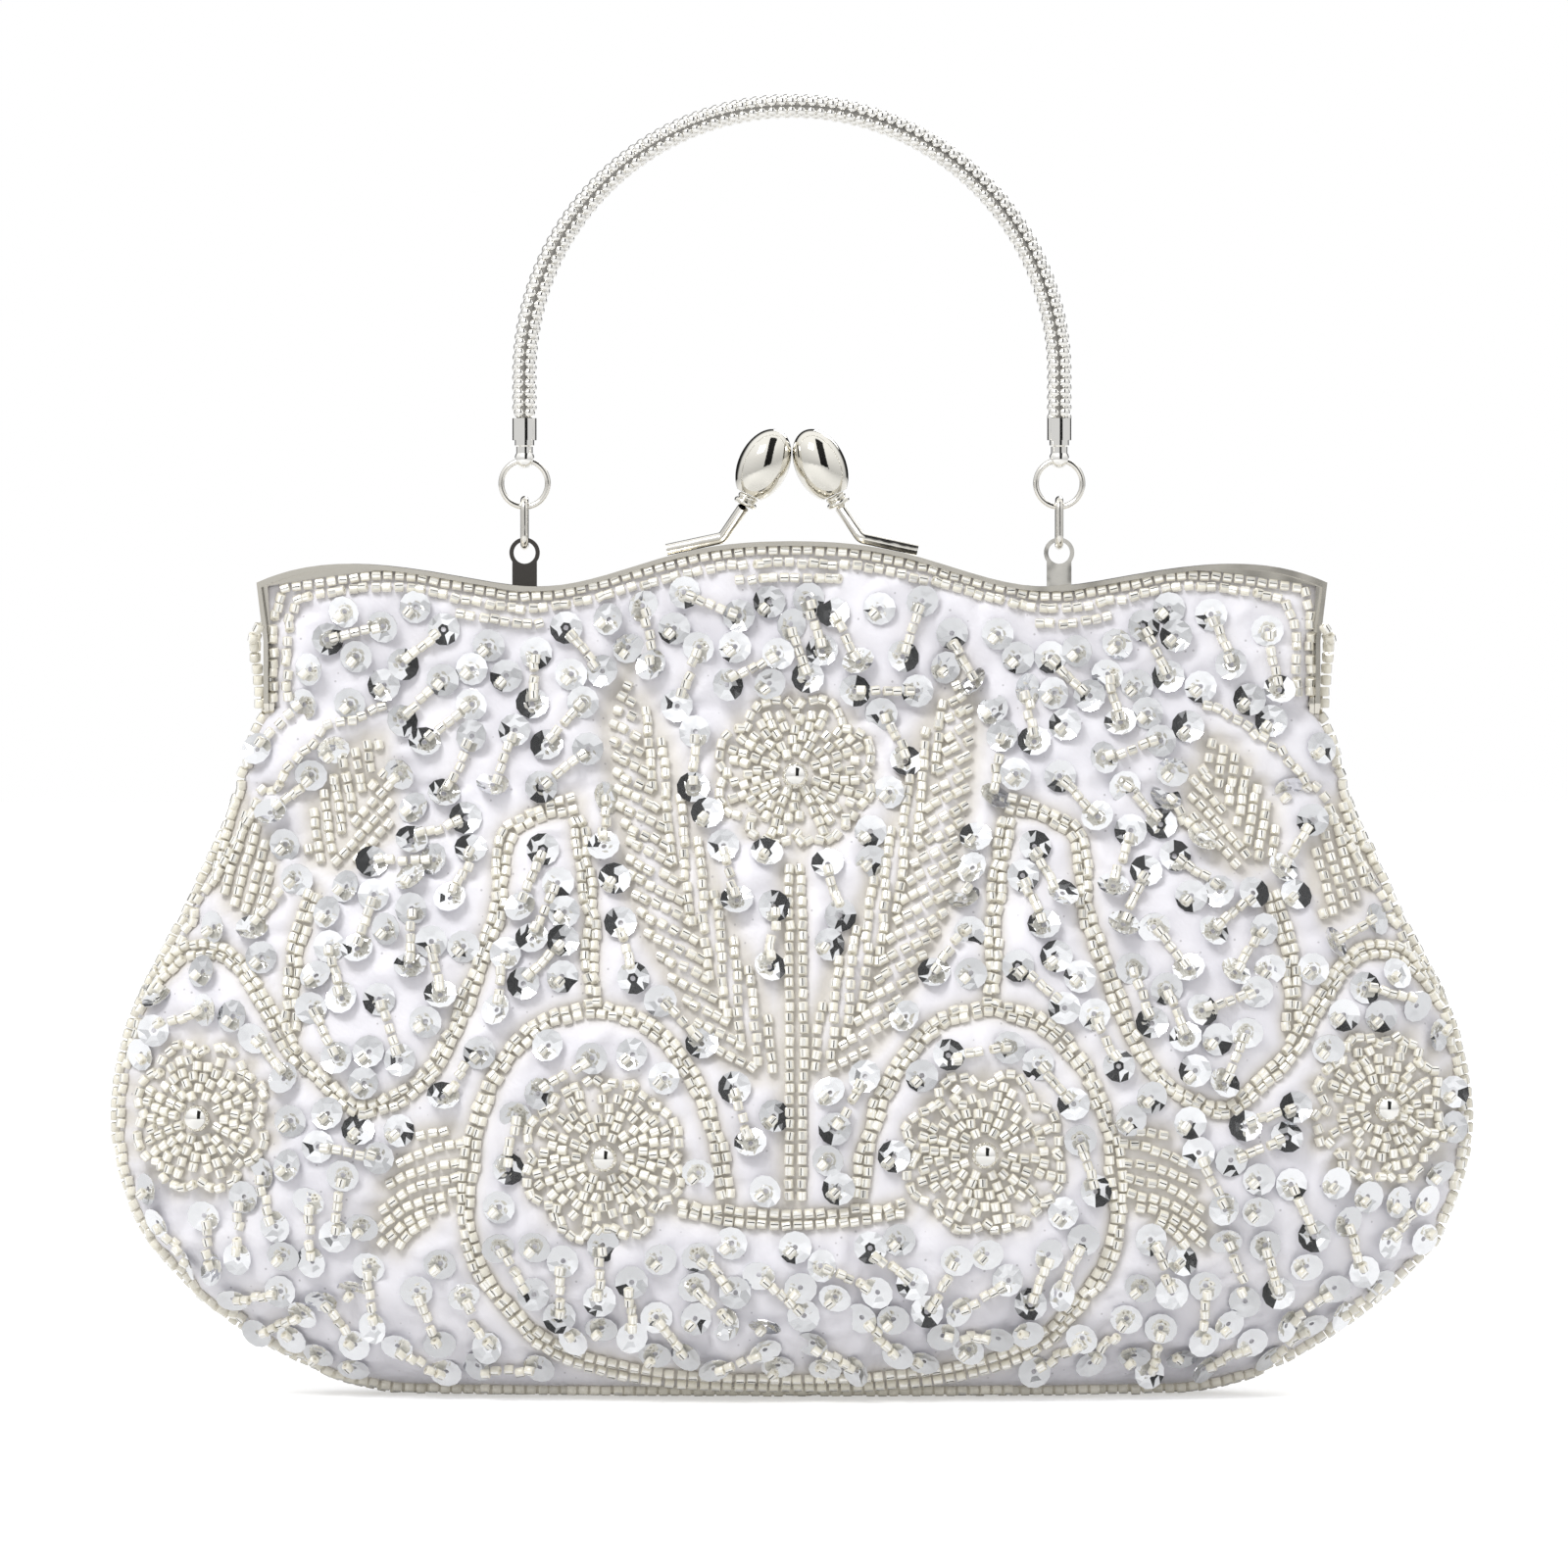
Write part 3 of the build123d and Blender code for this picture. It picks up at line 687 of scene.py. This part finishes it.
class Beads:
    """Seed beads of one group: centre, thread direction and outward normal of each."""

    def __init__(self):
        self.rows = []

    def add(self, point, along, normal, lift=BEAD_LIFT):
        along = along - normal * along.dot(normal)
        if along.length < 1e-6:
            return
        along.normalize()
        side = normal.cross(along)
        along = (along + side * rng.gauss(0, BEAD_STRAY)).normalized()
        out = (normal + side * rng.gauss(0, BEAD_ROLL)).normalized()
        centre = point + normal * (lift + rng.gauss(0, BEAD_STRAY))
        centre += side * rng.gauss(0, BEAD_STRAY)
        self.rows.append((centre, along, (out - along * out.dot(along)).normalized()))

    def string(self, path, pitch=BEAD_PITCH, lift=BEAD_LIFT):
        """Threads beads along a path of (point, normal)."""
        pts = np.array([p for p, _ in path])
        normals = np.array([n for _, n in path])
        gaps = np.linalg.norm(np.diff(pts, axis=0), axis=1)
        run = np.concatenate([[0], np.cumsum(gaps)])
        count = max(1, int(round(run[-1] / pitch)))
        for i in range(count):
            s = (i + 0.5) / count * run[-1] + rng.gauss(0, 0.05)
            here, ahead, behind = (np.array([np.interp(s + d, run, pts[:, k]) for k in range(3)])
                                   for d in (0, 0.7, -0.7))
            normal = np.array([np.interp(s, run, normals[:, k]) for k in range(3)])
            self.add(Vector(here), Vector(ahead - behind), Vector(normal).normalized(), lift)

    def line(self, panel, points, offset=0.0, step=0.8):
        """A row of beads along a line of the plan, moved sideways over the cloth by offset."""
        path = [panel.seen_at(x, z) for x, z in smooth(points, step)]
        if offset:
            moved = []
            for i, (p, n) in enumerate(path):
                ahead, behind = path[min(i + 1, len(path) - 1)][0], path[max(i - 1, 0)][0]
                side = n.cross(ahead - behind).normalized()
                moved.append(panel.nearest(p + side * offset))
            path = moved
        self.string(path)

    def double(self, panel, points):
        for offset in (-ROW_GAP / 2, ROW_GAP / 2):
            self.line(panel, points, offset)

    def filled(self, panel, polygon, angle, gap=FILL_GAP):
        """Parallel rows across a leaf, without the shortest ones at its tips."""
        for start, end in hatch(polygon, angle, gap):
            if np.linalg.norm(end - start) > 1.2:
                self.line(panel, [start, end])


class Crowd:
    """Places already taken, looked up by cell."""

    def __init__(self, cell=7.0):
        self.cell = cell
        self.cells = {}

    def key(self, p):
        return tuple(int(math.floor(v / self.cell)) for v in p)

    def add(self, p, radius):
        self.cells.setdefault(self.key(p), []).append((p, radius))

    def free(self, p, radius):
        kx, ky, kz = self.key(p)
        for i in (-1, 0, 1):
            for j in (-1, 0, 1):
                for k in (-1, 0, 1):
                    for other, reach in self.cells.get((kx + i, ky + j, kz + k), ()):
                        if (other - p).length < radius + reach:
                            return False
        return True


PETALS = 8
FLOWER_SPACE = 1.00  # half the distance between neighbouring beads


def lobed(radius, theta):
    """Outline of a flower whose petals point half a petal off the horizontal."""
    return radius * (0.83 + 0.17 * abs(math.sin(PETALS / 2 * theta)) ** 0.7)


def sew_flower(beads, panel, cx, cz, radius):
    """A lobed outline of beads, a row along each petal, then outward beads in what is left."""
    centre, right, up = panel.patch(cx, cz)

    def on_cloth(r, theta):
        return panel.nearest(centre + right * (r * math.cos(theta)) + up * (r * math.sin(theta)))

    taken = Crowd()

    def keep_off(first):
        """Notes the places of the beads from number first on, so that later ones keep off them."""
        for place, _, _ in beads.rows[first:]:
            taken.add(place, FLOWER_SPACE)

    edge = [on_cloth(lobed(radius, t) - 1.0, t) for t in np.arange(0, math.tau + 0.02, 0.03)]
    first = len(beads.rows)
    beads.string(edge, 2.3)
    keep_off(first)
    for petal in range(PETALS):
        axis = math.tau * (petal + 0.5) / PETALS + rng.gauss(0, 0.04)
        first = len(beads.rows)
        beads.string([on_cloth(r, axis) for r in np.arange(3.0, lobed(radius, axis) - 2.4, 0.6)])
        keep_off(first)
    for r in np.arange(3.6, radius, 0.35):
        turn = rng.random()
        for theta in np.arange(turn, turn + math.tau, 0.35 / r):
            if r > lobed(radius, theta) - 2.6:
                continue
            place, normal = on_cloth(r, theta)
            if taken.free(place + normal * BEAD_LIFT, FLOWER_SPACE):
                outward = place - centre
                sideways = normal.cross(outward)
                beads.add(place, outward + sideways * rng.gauss(0, 0.12), normal)
                keep_off(len(beads.rows) - 1)


def sew_feather(beads, panel, flip):
    """Long leaf: columns to the inner side of its spine, slanting rows to the outer side."""
    side = mirrored if flip else list
    inner = side(FEATHER_RIGHT)
    outer = side(FEATHER_LEFT)
    spine = side(FEATHER_SPINE)[::-1]
    beads.filled(panel, inner + spine, 84 if flip else 96, 2.4)
    beads.filled(panel, outer + spine, 28 if flip else -28, 2.6)


def rim_line(inset):
    """Line just inside the frame: up one arm, over the crest and down the other."""
    x_edge = FLAP_HALF_WIDTH + 1.0 - inset
    arm = [(-x_edge, z) for z in np.arange(132, 151 - inset, 2.5)]
    top_x = np.arange(-98 + inset, 99 - inset, 2.0)
    top = [(x, crest_height(x) - RIM_INSET - inset + 0.3) for x in top_x]
    return arm + top + [(-x, z) for x, z in arm[::-1]]


def straight_path(panel, points, step=0.8):
    """Densely samples straight spans between plan points and puts them on the cloth."""
    path = []
    for (x0, z0), (x1, z1) in zip(points, points[1:]):
        count = max(1, int(math.hypot(x1 - x0, z1 - z0) / step))
        for i in range(count):
            path.append(panel.seen_at(x0 + (x1 - x0) * i / count, z0 + (z1 - z0) * i / count))
    return path


def seam_path(panel, depth):
    """Along the side and bottom edge of the pouch, depth in front of the seam."""
    profile = [(z, a, b) for z, a, b in smooth(PANEL_PROFILE, 1.0) if b > depth + 0.2]
    half = [(a * math.sqrt(1 - (depth / b) ** 2), z) for z, a, b in profile][::-1]
    left = [panel.nearest((-x, -depth, z)) for x, z in half]
    bottom_x = np.arange(-half[-1][0], half[-1][0], 1.0)
    bottom = [panel.nearest((x, -depth, PANEL_PROFILE[0][0])) for x in bottom_x]
    right = [panel.nearest((x, -depth, z)) for x, z in half[::-1]]
    return left + bottom + right


# row of beads on each frame arm: out from the arm, behind its front edge, above the hinge,
# and share of the turn outwards
ARM_ROW = (
    (-1.2, 0.0, 15.2, 0.1), (-0.6, 0.4, 14.0, 0.4), (0.0, 1.2, 12.6, 0.7), (-0.2, 2.8, 10.8, 1.0),
    (-0.5, 3.9, 7.5, 1.0), (-1.0, 4.4, 3.0, 1.0), (-1.2, 4.6, -1.2, 1.0),
)


def arm_path(side):
    """Row that crosses the front edge of a frame arm and runs down its outer side."""
    front, out = Vector((0, -1, 0)), Vector((side, 0, 0))
    arm = RIM_HIGH.x / MM
    rim = RIM_LOW.y / MM
    path = []
    for x, y, z, turn in ARM_ROW:
        normal = front.lerp(out, turn).normalized()
        path.append((Vector((side * (arm + x), rim + y, HINGE_Z + z)), normal))
    return path


def bottom_path(panel, depth):
    reach = PANEL_PROFILE[0][1] * math.sqrt(max(0.05, 1 - (depth / 13.5) ** 2))
    return [panel.nearest((x, -depth, PANEL_PROFILE[0][0])) for x in np.arange(-reach, reach, 1.0)]


THIRD_ROW_SPANS = ((-64, -45), (-11, 13), (46, 63))  # where a third row of beads follows the frame


def sew_motifs(panel):
    """All sewn beads of the front, in groups."""
    groups = {name: Beads() for name in ("flower_beads", "leaf_beads", "vine_beads", "edge_beads")}
    for cx, cz, radius in FLOWERS:
        sew_flower(groups["flower_beads"], panel, cx, cz, radius)
    leaves = groups["leaf_beads"]
    for flip in (False, True):
        side = mirrored if flip else list
        sew_feather(leaves, panel, flip)
        for leaf, angle in LEAVES:
            leaves.filled(panel, side(leaf), 180 - angle if flip else angle)
        for row in FERN_ROWS:
            leaves.line(panel, side(row))
    vines = groups["vine_beads"]
    vines.double(panel, STEM)
    vines.double(panel, BASE_BAR)
    for line in VINES:
        vines.double(panel, line)
        vines.double(panel, mirrored(line))
    edges = groups["edge_beads"]
    for inset in (1.2, 3.8):
        edges.string(straight_path(panel, rim_line(inset)))
    for start, end in THIRD_ROW_SPANS:
        line = [(x, crest_height(x) - RIM_INSET - 6.1) for x in np.arange(start, end, 2.0)]
        edges.string(straight_path(panel, line))
    for side in (-1, 1):
        edges.string(arm_path(side))
    for depth in (1.25, 3.75):
        edges.string(seam_path(panel, depth))
    for depth in (6.3, 8.8, 11.3):
        edges.string(bottom_path(panel, depth))
    return groups


# ---- Sequins ----
STRAND_SHARES = (0.14, 0.32, 0.50, 0.68, 0.86)  # places of a strand's beads between its two sequins
STRAND_RISES = (1.85, 1.55, 0.92, 1.55, 1.9)  # and how far they stand off the satin
PAIR_SPANS = (10.2, 12.2)  # between the sequins of a pair
SEQUIN_SPACE = 2.75  # kept free round the middle of a sequin
PAIR_TRIES = 24000
SINGLE_TRIES = 14000


def random_places(points, count):
    """Places spread evenly over the area of the panel."""
    corner = points[:-1, :-1]
    right = points[:-1, 1:] - corner
    up = points[1:, :-1] - corner
    area = np.linalg.norm(np.cross(right, up), axis=-1).ravel()
    total = np.cumsum(area)
    for _ in range(count):
        i = int(np.searchsorted(total, rng.random() * total[-1]))
        r, c = divmod(i, corner.shape[1])
        place = corner[r, c] + right[r, c] * rng.random() + up[r, c] * rng.random()
        yield Vector(place)


def open_cloth(point, normal):
    """Sequins keep off the base, the seams and the strip held by the frame."""
    if normal.z < -0.8 or point.z < 5.5:
        return False
    if point.z > FLAP_START_Z - 6 and abs(point.x) > FLAP_HALF_WIDTH - 4.5:
        return False
    return point.z < crest_height(point.x) - RIM_INSET - 6.5


def scatter_sequins(panel, points, groups):
    """Pairs of cup sequins tied by a short strand of beads, then single ones in the gaps left."""
    taken = Crowd()
    for beads in groups.values():
        for centre, _, _ in beads.rows:
            taken.add(centre, 0.65)
    for x, z, _ in FLOWERS:
        taken.add(panel.seen_at(x, z)[0], 3)
    strands = Beads()
    sequins = []

    def settle(point, normal, toward, lean):
        """One sequin, its side at toward pressed down by lean."""
        spin = rng.random() * math.tau
        right = normal.orthogonal().normalized()
        up = normal.cross(right)
        stray = right * math.cos(spin) + up * math.sin(spin)
        out = (normal + toward * math.tan(lean) + stray * abs(rng.gauss(0, 0.17))).normalized()
        drop = math.sqrt(max(0.0, 1 - out.dot(normal) ** 2))
        centre = point + normal * (0.35 + SEQUIN_RADIUS * drop * 0.72)
        along = (stray - out * stray.dot(out)).normalized()
        sequins.append((centre, along, out))

    def has_room(point, normal):
        return open_cloth(point, normal) and taken.free(point, SEQUIN_SPACE)

    for place in random_places(points, PAIR_TRIES):
        first, n1 = panel.nearest(place)
        if not has_room(first, n1):
            continue
        if abs(n1.y) > 0.3:
            _, right, up = panel.patch(first.x, first.z)
        else:
            right = n1.orthogonal()
            up = n1.cross(right)
        heading = -math.pi / 2 + rng.gauss(0, 0.75)
        toward = (right * math.cos(heading) + up * math.sin(heading)).normalized()
        second, n2 = panel.nearest(first + toward * rng.uniform(*PAIR_SPANS))
        if (second - first).length < 9.5 or not has_room(second, n2):
            continue
        middle, _ = panel.nearest((first + second) / 2)
        if not taken.free(middle, 1.2):
            continue
        toward = (second - first).normalized()
        settle(first, n1, toward, rng.uniform(0.05, 0.30))
        settle(second, n2, -toward, rng.uniform(0.10, 0.50))
        taken.add(first, SEQUIN_SPACE)
        taken.add(second, SEQUIN_SPACE)
        taken.add(middle, 0.9)
        for share, rise in zip(STRAND_SHARES, STRAND_RISES):
            point, normal = panel.nearest(first.lerp(second, share))
            strands.add(point, toward.copy(), normal, rise)
    for place in random_places(points, SINGLE_TRIES):
        point, normal = panel.nearest(place)
        if has_room(point, normal):
            toward = normal.orthogonal().normalized()
            settle(point, normal, toward, rng.uniform(0, 0.35))
            taken.add(point, SEQUIN_SPACE)
            strands.add(point + toward * 1.5, toward.copy(), normal, 1.75)
    return sequins, strands


# ---- Small repeated shapes ----
def bead_shape():
    """Short cut tube with a hole. Its top shows the silver lining with a painted highlight, split
    by a painted dark reflection as a streak along it.
    """
    angles = np.radians((-34, -6, 6, 34, 64, 105, 150, 210, 255, 296))
    rings = ((-0.5, 0.36), (-0.5, 0.86), (-0.42, 1.0), (0.42, 1.0), (0.5, 0.86), (0.5, 0.36))
    verts = [(s * BEAD_LENGTH, r * BEAD_RADIUS * math.sin(a), r * BEAD_RADIUS * math.cos(a))
             for s, r in rings for a in angles]
    around = len(angles)
    quads, kinds, rounded = [], [], []
    for i in range(len(rings)):
        j = (i + 1) % len(rings)
        for k in range(around):
            n = (k + 1) % around
            quads.append((i * around + k, i * around + n, j * around + n, j * around + k))
            # top faces: slot 0 the lining with its painted highlight, slot 1 the painted dark
            # reflection; slot 2 the glass
            kinds.append((0, 1, 0)[k] if i == 2 and k < 3 else 2)
            rounded.append(i == 2 and k > 2)
    return np.array(verts), np.array(quads), np.array(kinds), np.array(rounded)


HEXAGON = math.cos(math.pi / 6)  # middle of a hexagon's side, for a corner at 1
# radius at the corners and at the middles of the sides, height: over the top, then underneath
SEQUIN_RINGS = (
    (0.50, 0.50, 0.0), (1.10, 1.10 * HEXAGON, 0.02), (2.15, 2.15 * HEXAGON, 0.28),
    (SEQUIN_RADIUS, SEQUIN_RADIUS, 0.50), (SEQUIN_RADIUS, SEQUIN_RADIUS, 0.38), (0.50, 0.50, -0.12),
)


def sequin_shape():
    """Thin cup: a flat middle with a hole, six steep facets round it and a shallow rim."""
    steps = np.radians(np.arange(0, 360, 30))
    loops = []
    for inner, outer, height in SEQUIN_RINGS:
        loops.append([(r * math.cos(t), r * math.sin(t), height)
                      for r, t in zip([inner, outer] * 6, steps)])
    verts = [v for loop in loops for v in loop]
    quads = []
    for i in range(len(loops)):
        j = (i + 1) % len(loops)
        for k in range(12):
            n = (k + 1) % 12
            quads.append((i * 12 + k, j * 12 + k, j * 12 + n, i * 12 + n))
    flat = np.zeros(len(quads), bool)
    return np.array(verts), np.array(quads)[:, ::-1], np.zeros(len(quads), int), flat


def lump_shape(half_sizes, around=12, levels=7):
    """Rounded lump as a closed grid of quads with small end holes drawn to a point."""
    verts = []
    for i in range(levels):
        polar = math.pi * (0.06 + 0.88 * i / (levels - 1))
        for k in range(around):
            t = math.tau * k / around
            verts.append((half_sizes[0] * math.cos(polar),
                          half_sizes[1] * math.sin(polar) * math.sin(t),
                          half_sizes[2] * math.sin(polar) * math.cos(t)))
    quads = list(map(tuple, grid_quads(levels, around, wrap=True)))
    for base in (0, (levels - 1) * around):
        for k in range(0, around - 2, 2):
            cap = (base, base + k + 1, base + k + 2, base + (k + 3) % around)
            quads.append(cap if base else cap[::-1])
    return np.array(verts), np.array(quads), np.zeros(len(quads), int), np.ones(len(quads), bool)


def copies(shape, rows):
    """Vertices, quads, slots and smooth flags of a shape repeated at (centre, along, out) rows."""
    verts, quads, kinds, rounded = shape
    centre = np.array([c for c, _, _ in rows])
    along = np.array([a for _, a, _ in rows])
    out = np.array([o for _, _, o in rows])
    side = np.cross(out, along)
    turn = np.stack([along, side, out], -1)
    all_verts = np.einsum("nij,vj->nvi", turn, verts) + centre[:, None]
    shift = np.arange(len(rows))[:, None, None] * len(verts)
    all_quads = quads[None] + shift
    tint = np.array([rng.randrange(TINTS) for _ in rows])
    slots = kinds[None] * TINTS + tint[:, None]
    flags = np.broadcast_to(rounded, (len(rows), len(rounded)))
    return all_verts.reshape(-1, 3), all_quads.reshape(-1, 4), slots.ravel(), flags.ravel()


def build_beads(name, rows, replaced=()):
    verts, quads, slots, flags = copies(bead_shape(), rows)
    fold(panel_pair(name, verts, quads, BEAD_LINING_HIGHLIGHTS + BEAD_DARK_REFLECTIONS + BEAD_GLASS_AND_GLOW, "beads", replaced,
                    slots=slots, smooth_faces=flags))


def build_sequins(rows):
    verts, quads, slots, flags = copies(sequin_shape(), rows)
    fold(panel_pair("cup_sequins", verts, quads, SEQUIN_FOIL, "beads",
                    slots=slots, smooth_faces=flags))


# ---- Handle chain ----
def handle_route(step):
    """Centre line of the handle as (point, direction) pairs, from the left cap to the right cap."""
    radius = (CHAIN_HIGH.y - CHAIN_LOW.y) / 2 / MM
    half = CHAIN_HIGH.x / MM - radius
    depth = (CHAIN_HIGH.y + CHAIN_LOW.y) / 2 / MM
    foot = CHAIN_LOW.z / MM
    spring = CHAIN_HIGH.z / MM - radius - half
    straight = spring - foot
    total = 2 * straight + math.pi * half
    count = int(total / step)
    route = []
    for i in range(count):
        s = (i + 0.5) * total / count
        if s < straight:
            route.append((Vector((-half, depth, foot + s)), Vector((0, 0, 1))))
        elif s > total - straight:
            route.append((Vector((half, depth, foot + total - s)), Vector((0, 0, -1))))
        else:
            t = math.pi - (s - straight) / half
            route.append((Vector((half * math.cos(t), depth, spring + half * math.sin(t))),
                          Vector((math.sin(t), 0, -math.cos(t)))))
    return route


LUMP_PITCH = 1.9
LUMP_REACH = 1.46  # from the chain's centre line to the middle of a lump
LUMP_HALF_SIZES = (1.0, 1.12, 0.88)  # along the chain, across it, outwards
# columns of lumps: turn from the front in degrees, shift in shares of a pitch
LUMP_COLUMNS = ((-44, 0), (44, 0), (-90, 0.5), (90, 0.5), (-136, 0), (136, 0))


def build_chain():
    """Popcorn chain: columns of rounded lumps, with a dark seam between the two in front where the
    darkened core shows as painted shade.
    """
    lumps = []
    front = Vector((0, -1, 0))
    for point, along in handle_route(LUMP_PITCH):
        side = front.cross(along)
        for turn, shift in LUMP_COLUMNS:
            out = front * math.cos(math.radians(turn)) + side * math.sin(math.radians(turn))
            tip = (along - out * 0.12).normalized()
            centre = point + along * shift * LUMP_PITCH + out * LUMP_REACH
            lumps.append((centre, tip, (out + along * 0.12).normalized()))
    verts, quads, slots, _ = copies(lump_shape(LUMP_HALF_SIZES), lumps)
    chain = new_mesh("popcorn_chain", verts, quads, slots=slots)
    for material in CHAIN_LINKS:
        chain.data.materials.append(material)
    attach(chain, "handle")
    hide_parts("handle_chain")


# ---- Studio ----
VIEW_WIDTH = 299.2  # what the square picture takes in
AIM = (-1.5, 0.0, 116.3)
LENS = 200.0
SENSOR = 36.0
CAMERA_ELEVATION = 1.5
FLOOR_HALF = 4.0  # metres from the middle of the floor to its edge
FLOOR_GAP = 0.0002  # metres between the floor and the bag
FLOOR_GLOW = 0.45
TENT_GLOW = (0.615, 1.205)  # strength of the tent low down and overhead
LAMP_AIM = (0, 0, 0.08)


def build_camera():
    data = bpy.data.cameras.new("camera")
    data.lens = LENS
    data.sensor_width = SENSOR
    distance = VIEW_WIDTH * LENS / SENSOR * MM
    data.clip_start = distance * 0.05
    data.clip_end = distance * 20
    camera = add_object("camera", data)
    tilt = math.radians(CAMERA_ELEVATION)
    back = Vector((0, -math.cos(tilt), math.sin(tilt)))
    camera.location = Vector(AIM) * MM + back * distance
    camera.rotation_euler = (-back).to_track_quat("-Z", "Y").to_euler()
    bpy.context.scene.camera = camera


def build_floor():
    """Pale table, a little brighter than the light alone makes it, to meet the backdrop."""
    z = CAD_LOW.z - FLOOR_GAP
    signs = ((-1, -1), (1, -1), (1, 1), (-1, 1))
    corners = [(sx * FLOOR_HALF, sy * FLOOR_HALF, z) for sx, sy in signs]
    mesh = bpy.data.meshes.new("floor")
    mesh.from_pydata(corners, [], [(0, 1, 2, 3)])
    floor = add_object("floor", mesh)
    material, tree, bsdf = shader("pale_table", (0.80, 0.80, 0.80), Roughness=0.9,
                                  Emission_Color=(1, 1, 1))
    straight = tree.nodes.new("ShaderNodeLightPath").outputs["Is Camera Ray"]
    tree.put(tree.math("MULTIPLY", straight, FLOOR_GLOW), bsdf.inputs["Emission Strength"])
    mesh.materials.append(material)


def build_world():
    """White tent. Only polished parts mirror its dark slit beside the lens and its dark rear."""
    world = bpy.data.worlds.new("studio")
    bpy.context.scene.world = world
    tree = Tree(world)

    def ramp(value, bounds, results):
        return tree.map_range(value, bounds, results, "SMOOTHSTEP")

    direction = tree.nodes.new("ShaderNodeTexCoord").outputs["Generated"]
    x, y, z = tree.fill(tree.nodes.new("ShaderNodeSeparateXYZ"), Vector=direction).outputs
    path = tree.nodes.new("ShaderNodeLightPath")
    mirrored_ray = path.outputs["Is Glossy Ray"]

    band = tree.math("MULTIPLY", ramp(x, (0.05, 0.08), (0, 1)), ramp(x, (0.50, 0.56), (1, 0)))
    slit = tree.math("MULTIPLY", band, ramp(y, (-0.25, -0.10), (1, 0)))
    rear = ramp(y, (0.42, 0.78), (0, 0.95))
    dark = tree.math("MULTIPLY", tree.math("MAXIMUM", slit, rear), mirrored_ray)
    azimuth = tree.math("ARCTAN2", tree.math("ABSOLUTE", x), tree.math("MULTIPLY", y, -1.0))
    flank = ramp(azimuth, (math.radians(50), math.radians(95)), (1.0, 0.55))
    light = tree.math("MULTIPLY", ramp(z, (-0.3, 0.9), TENT_GLOW), ramp(dark, (0, 1), (1, 0.02)))
    light = tree.math("MULTIPLY", light, tree.math("MAXIMUM", flank, mirrored_ray))
    seen = tree.mix(path.outputs["Is Camera Ray"], light, 1.0, "FLOAT")
    tree.fill(tree.nodes["Background"], Color=(1, 1, 1), Strength=seen)


def build_lamp(name, place, size, power):
    """Large square soft box aimed at the pouch."""
    data = bpy.data.lights.new(name, "AREA")
    data.size = size
    data.energy = power
    lamp = add_object(name, data)
    lamp.location = place
    lamp.rotation_euler = (Vector(LAMP_AIM) - Vector(place)).to_track_quat("-Z", "Y").to_euler()


# ---- The bag ----
paint_nodes()
surface, satin_points = build_satin()
build_lining()
panel = Panel(surface)
sewn = sew_motifs(panel)
sequins, strands = scatter_sequins(panel, satin_points, sewn)
for group, beads in sewn.items():
    build_beads(group, beads.rows, ("beadwork", "flap_beadwork") if group == "edge_beads" else ())
build_beads("strand_beads", strands.rows)
build_sequins(sequins)
build_chain()

build_floor()
build_world()
build_lamp("key", (-0.45, -0.8, 1.0), 0.45, 8)
build_lamp("back_light", (0.4, 1.1, 0.9), 0.6, 8)
build_camera()
bpy.context.scene.view_settings.view_transform = "Standard"
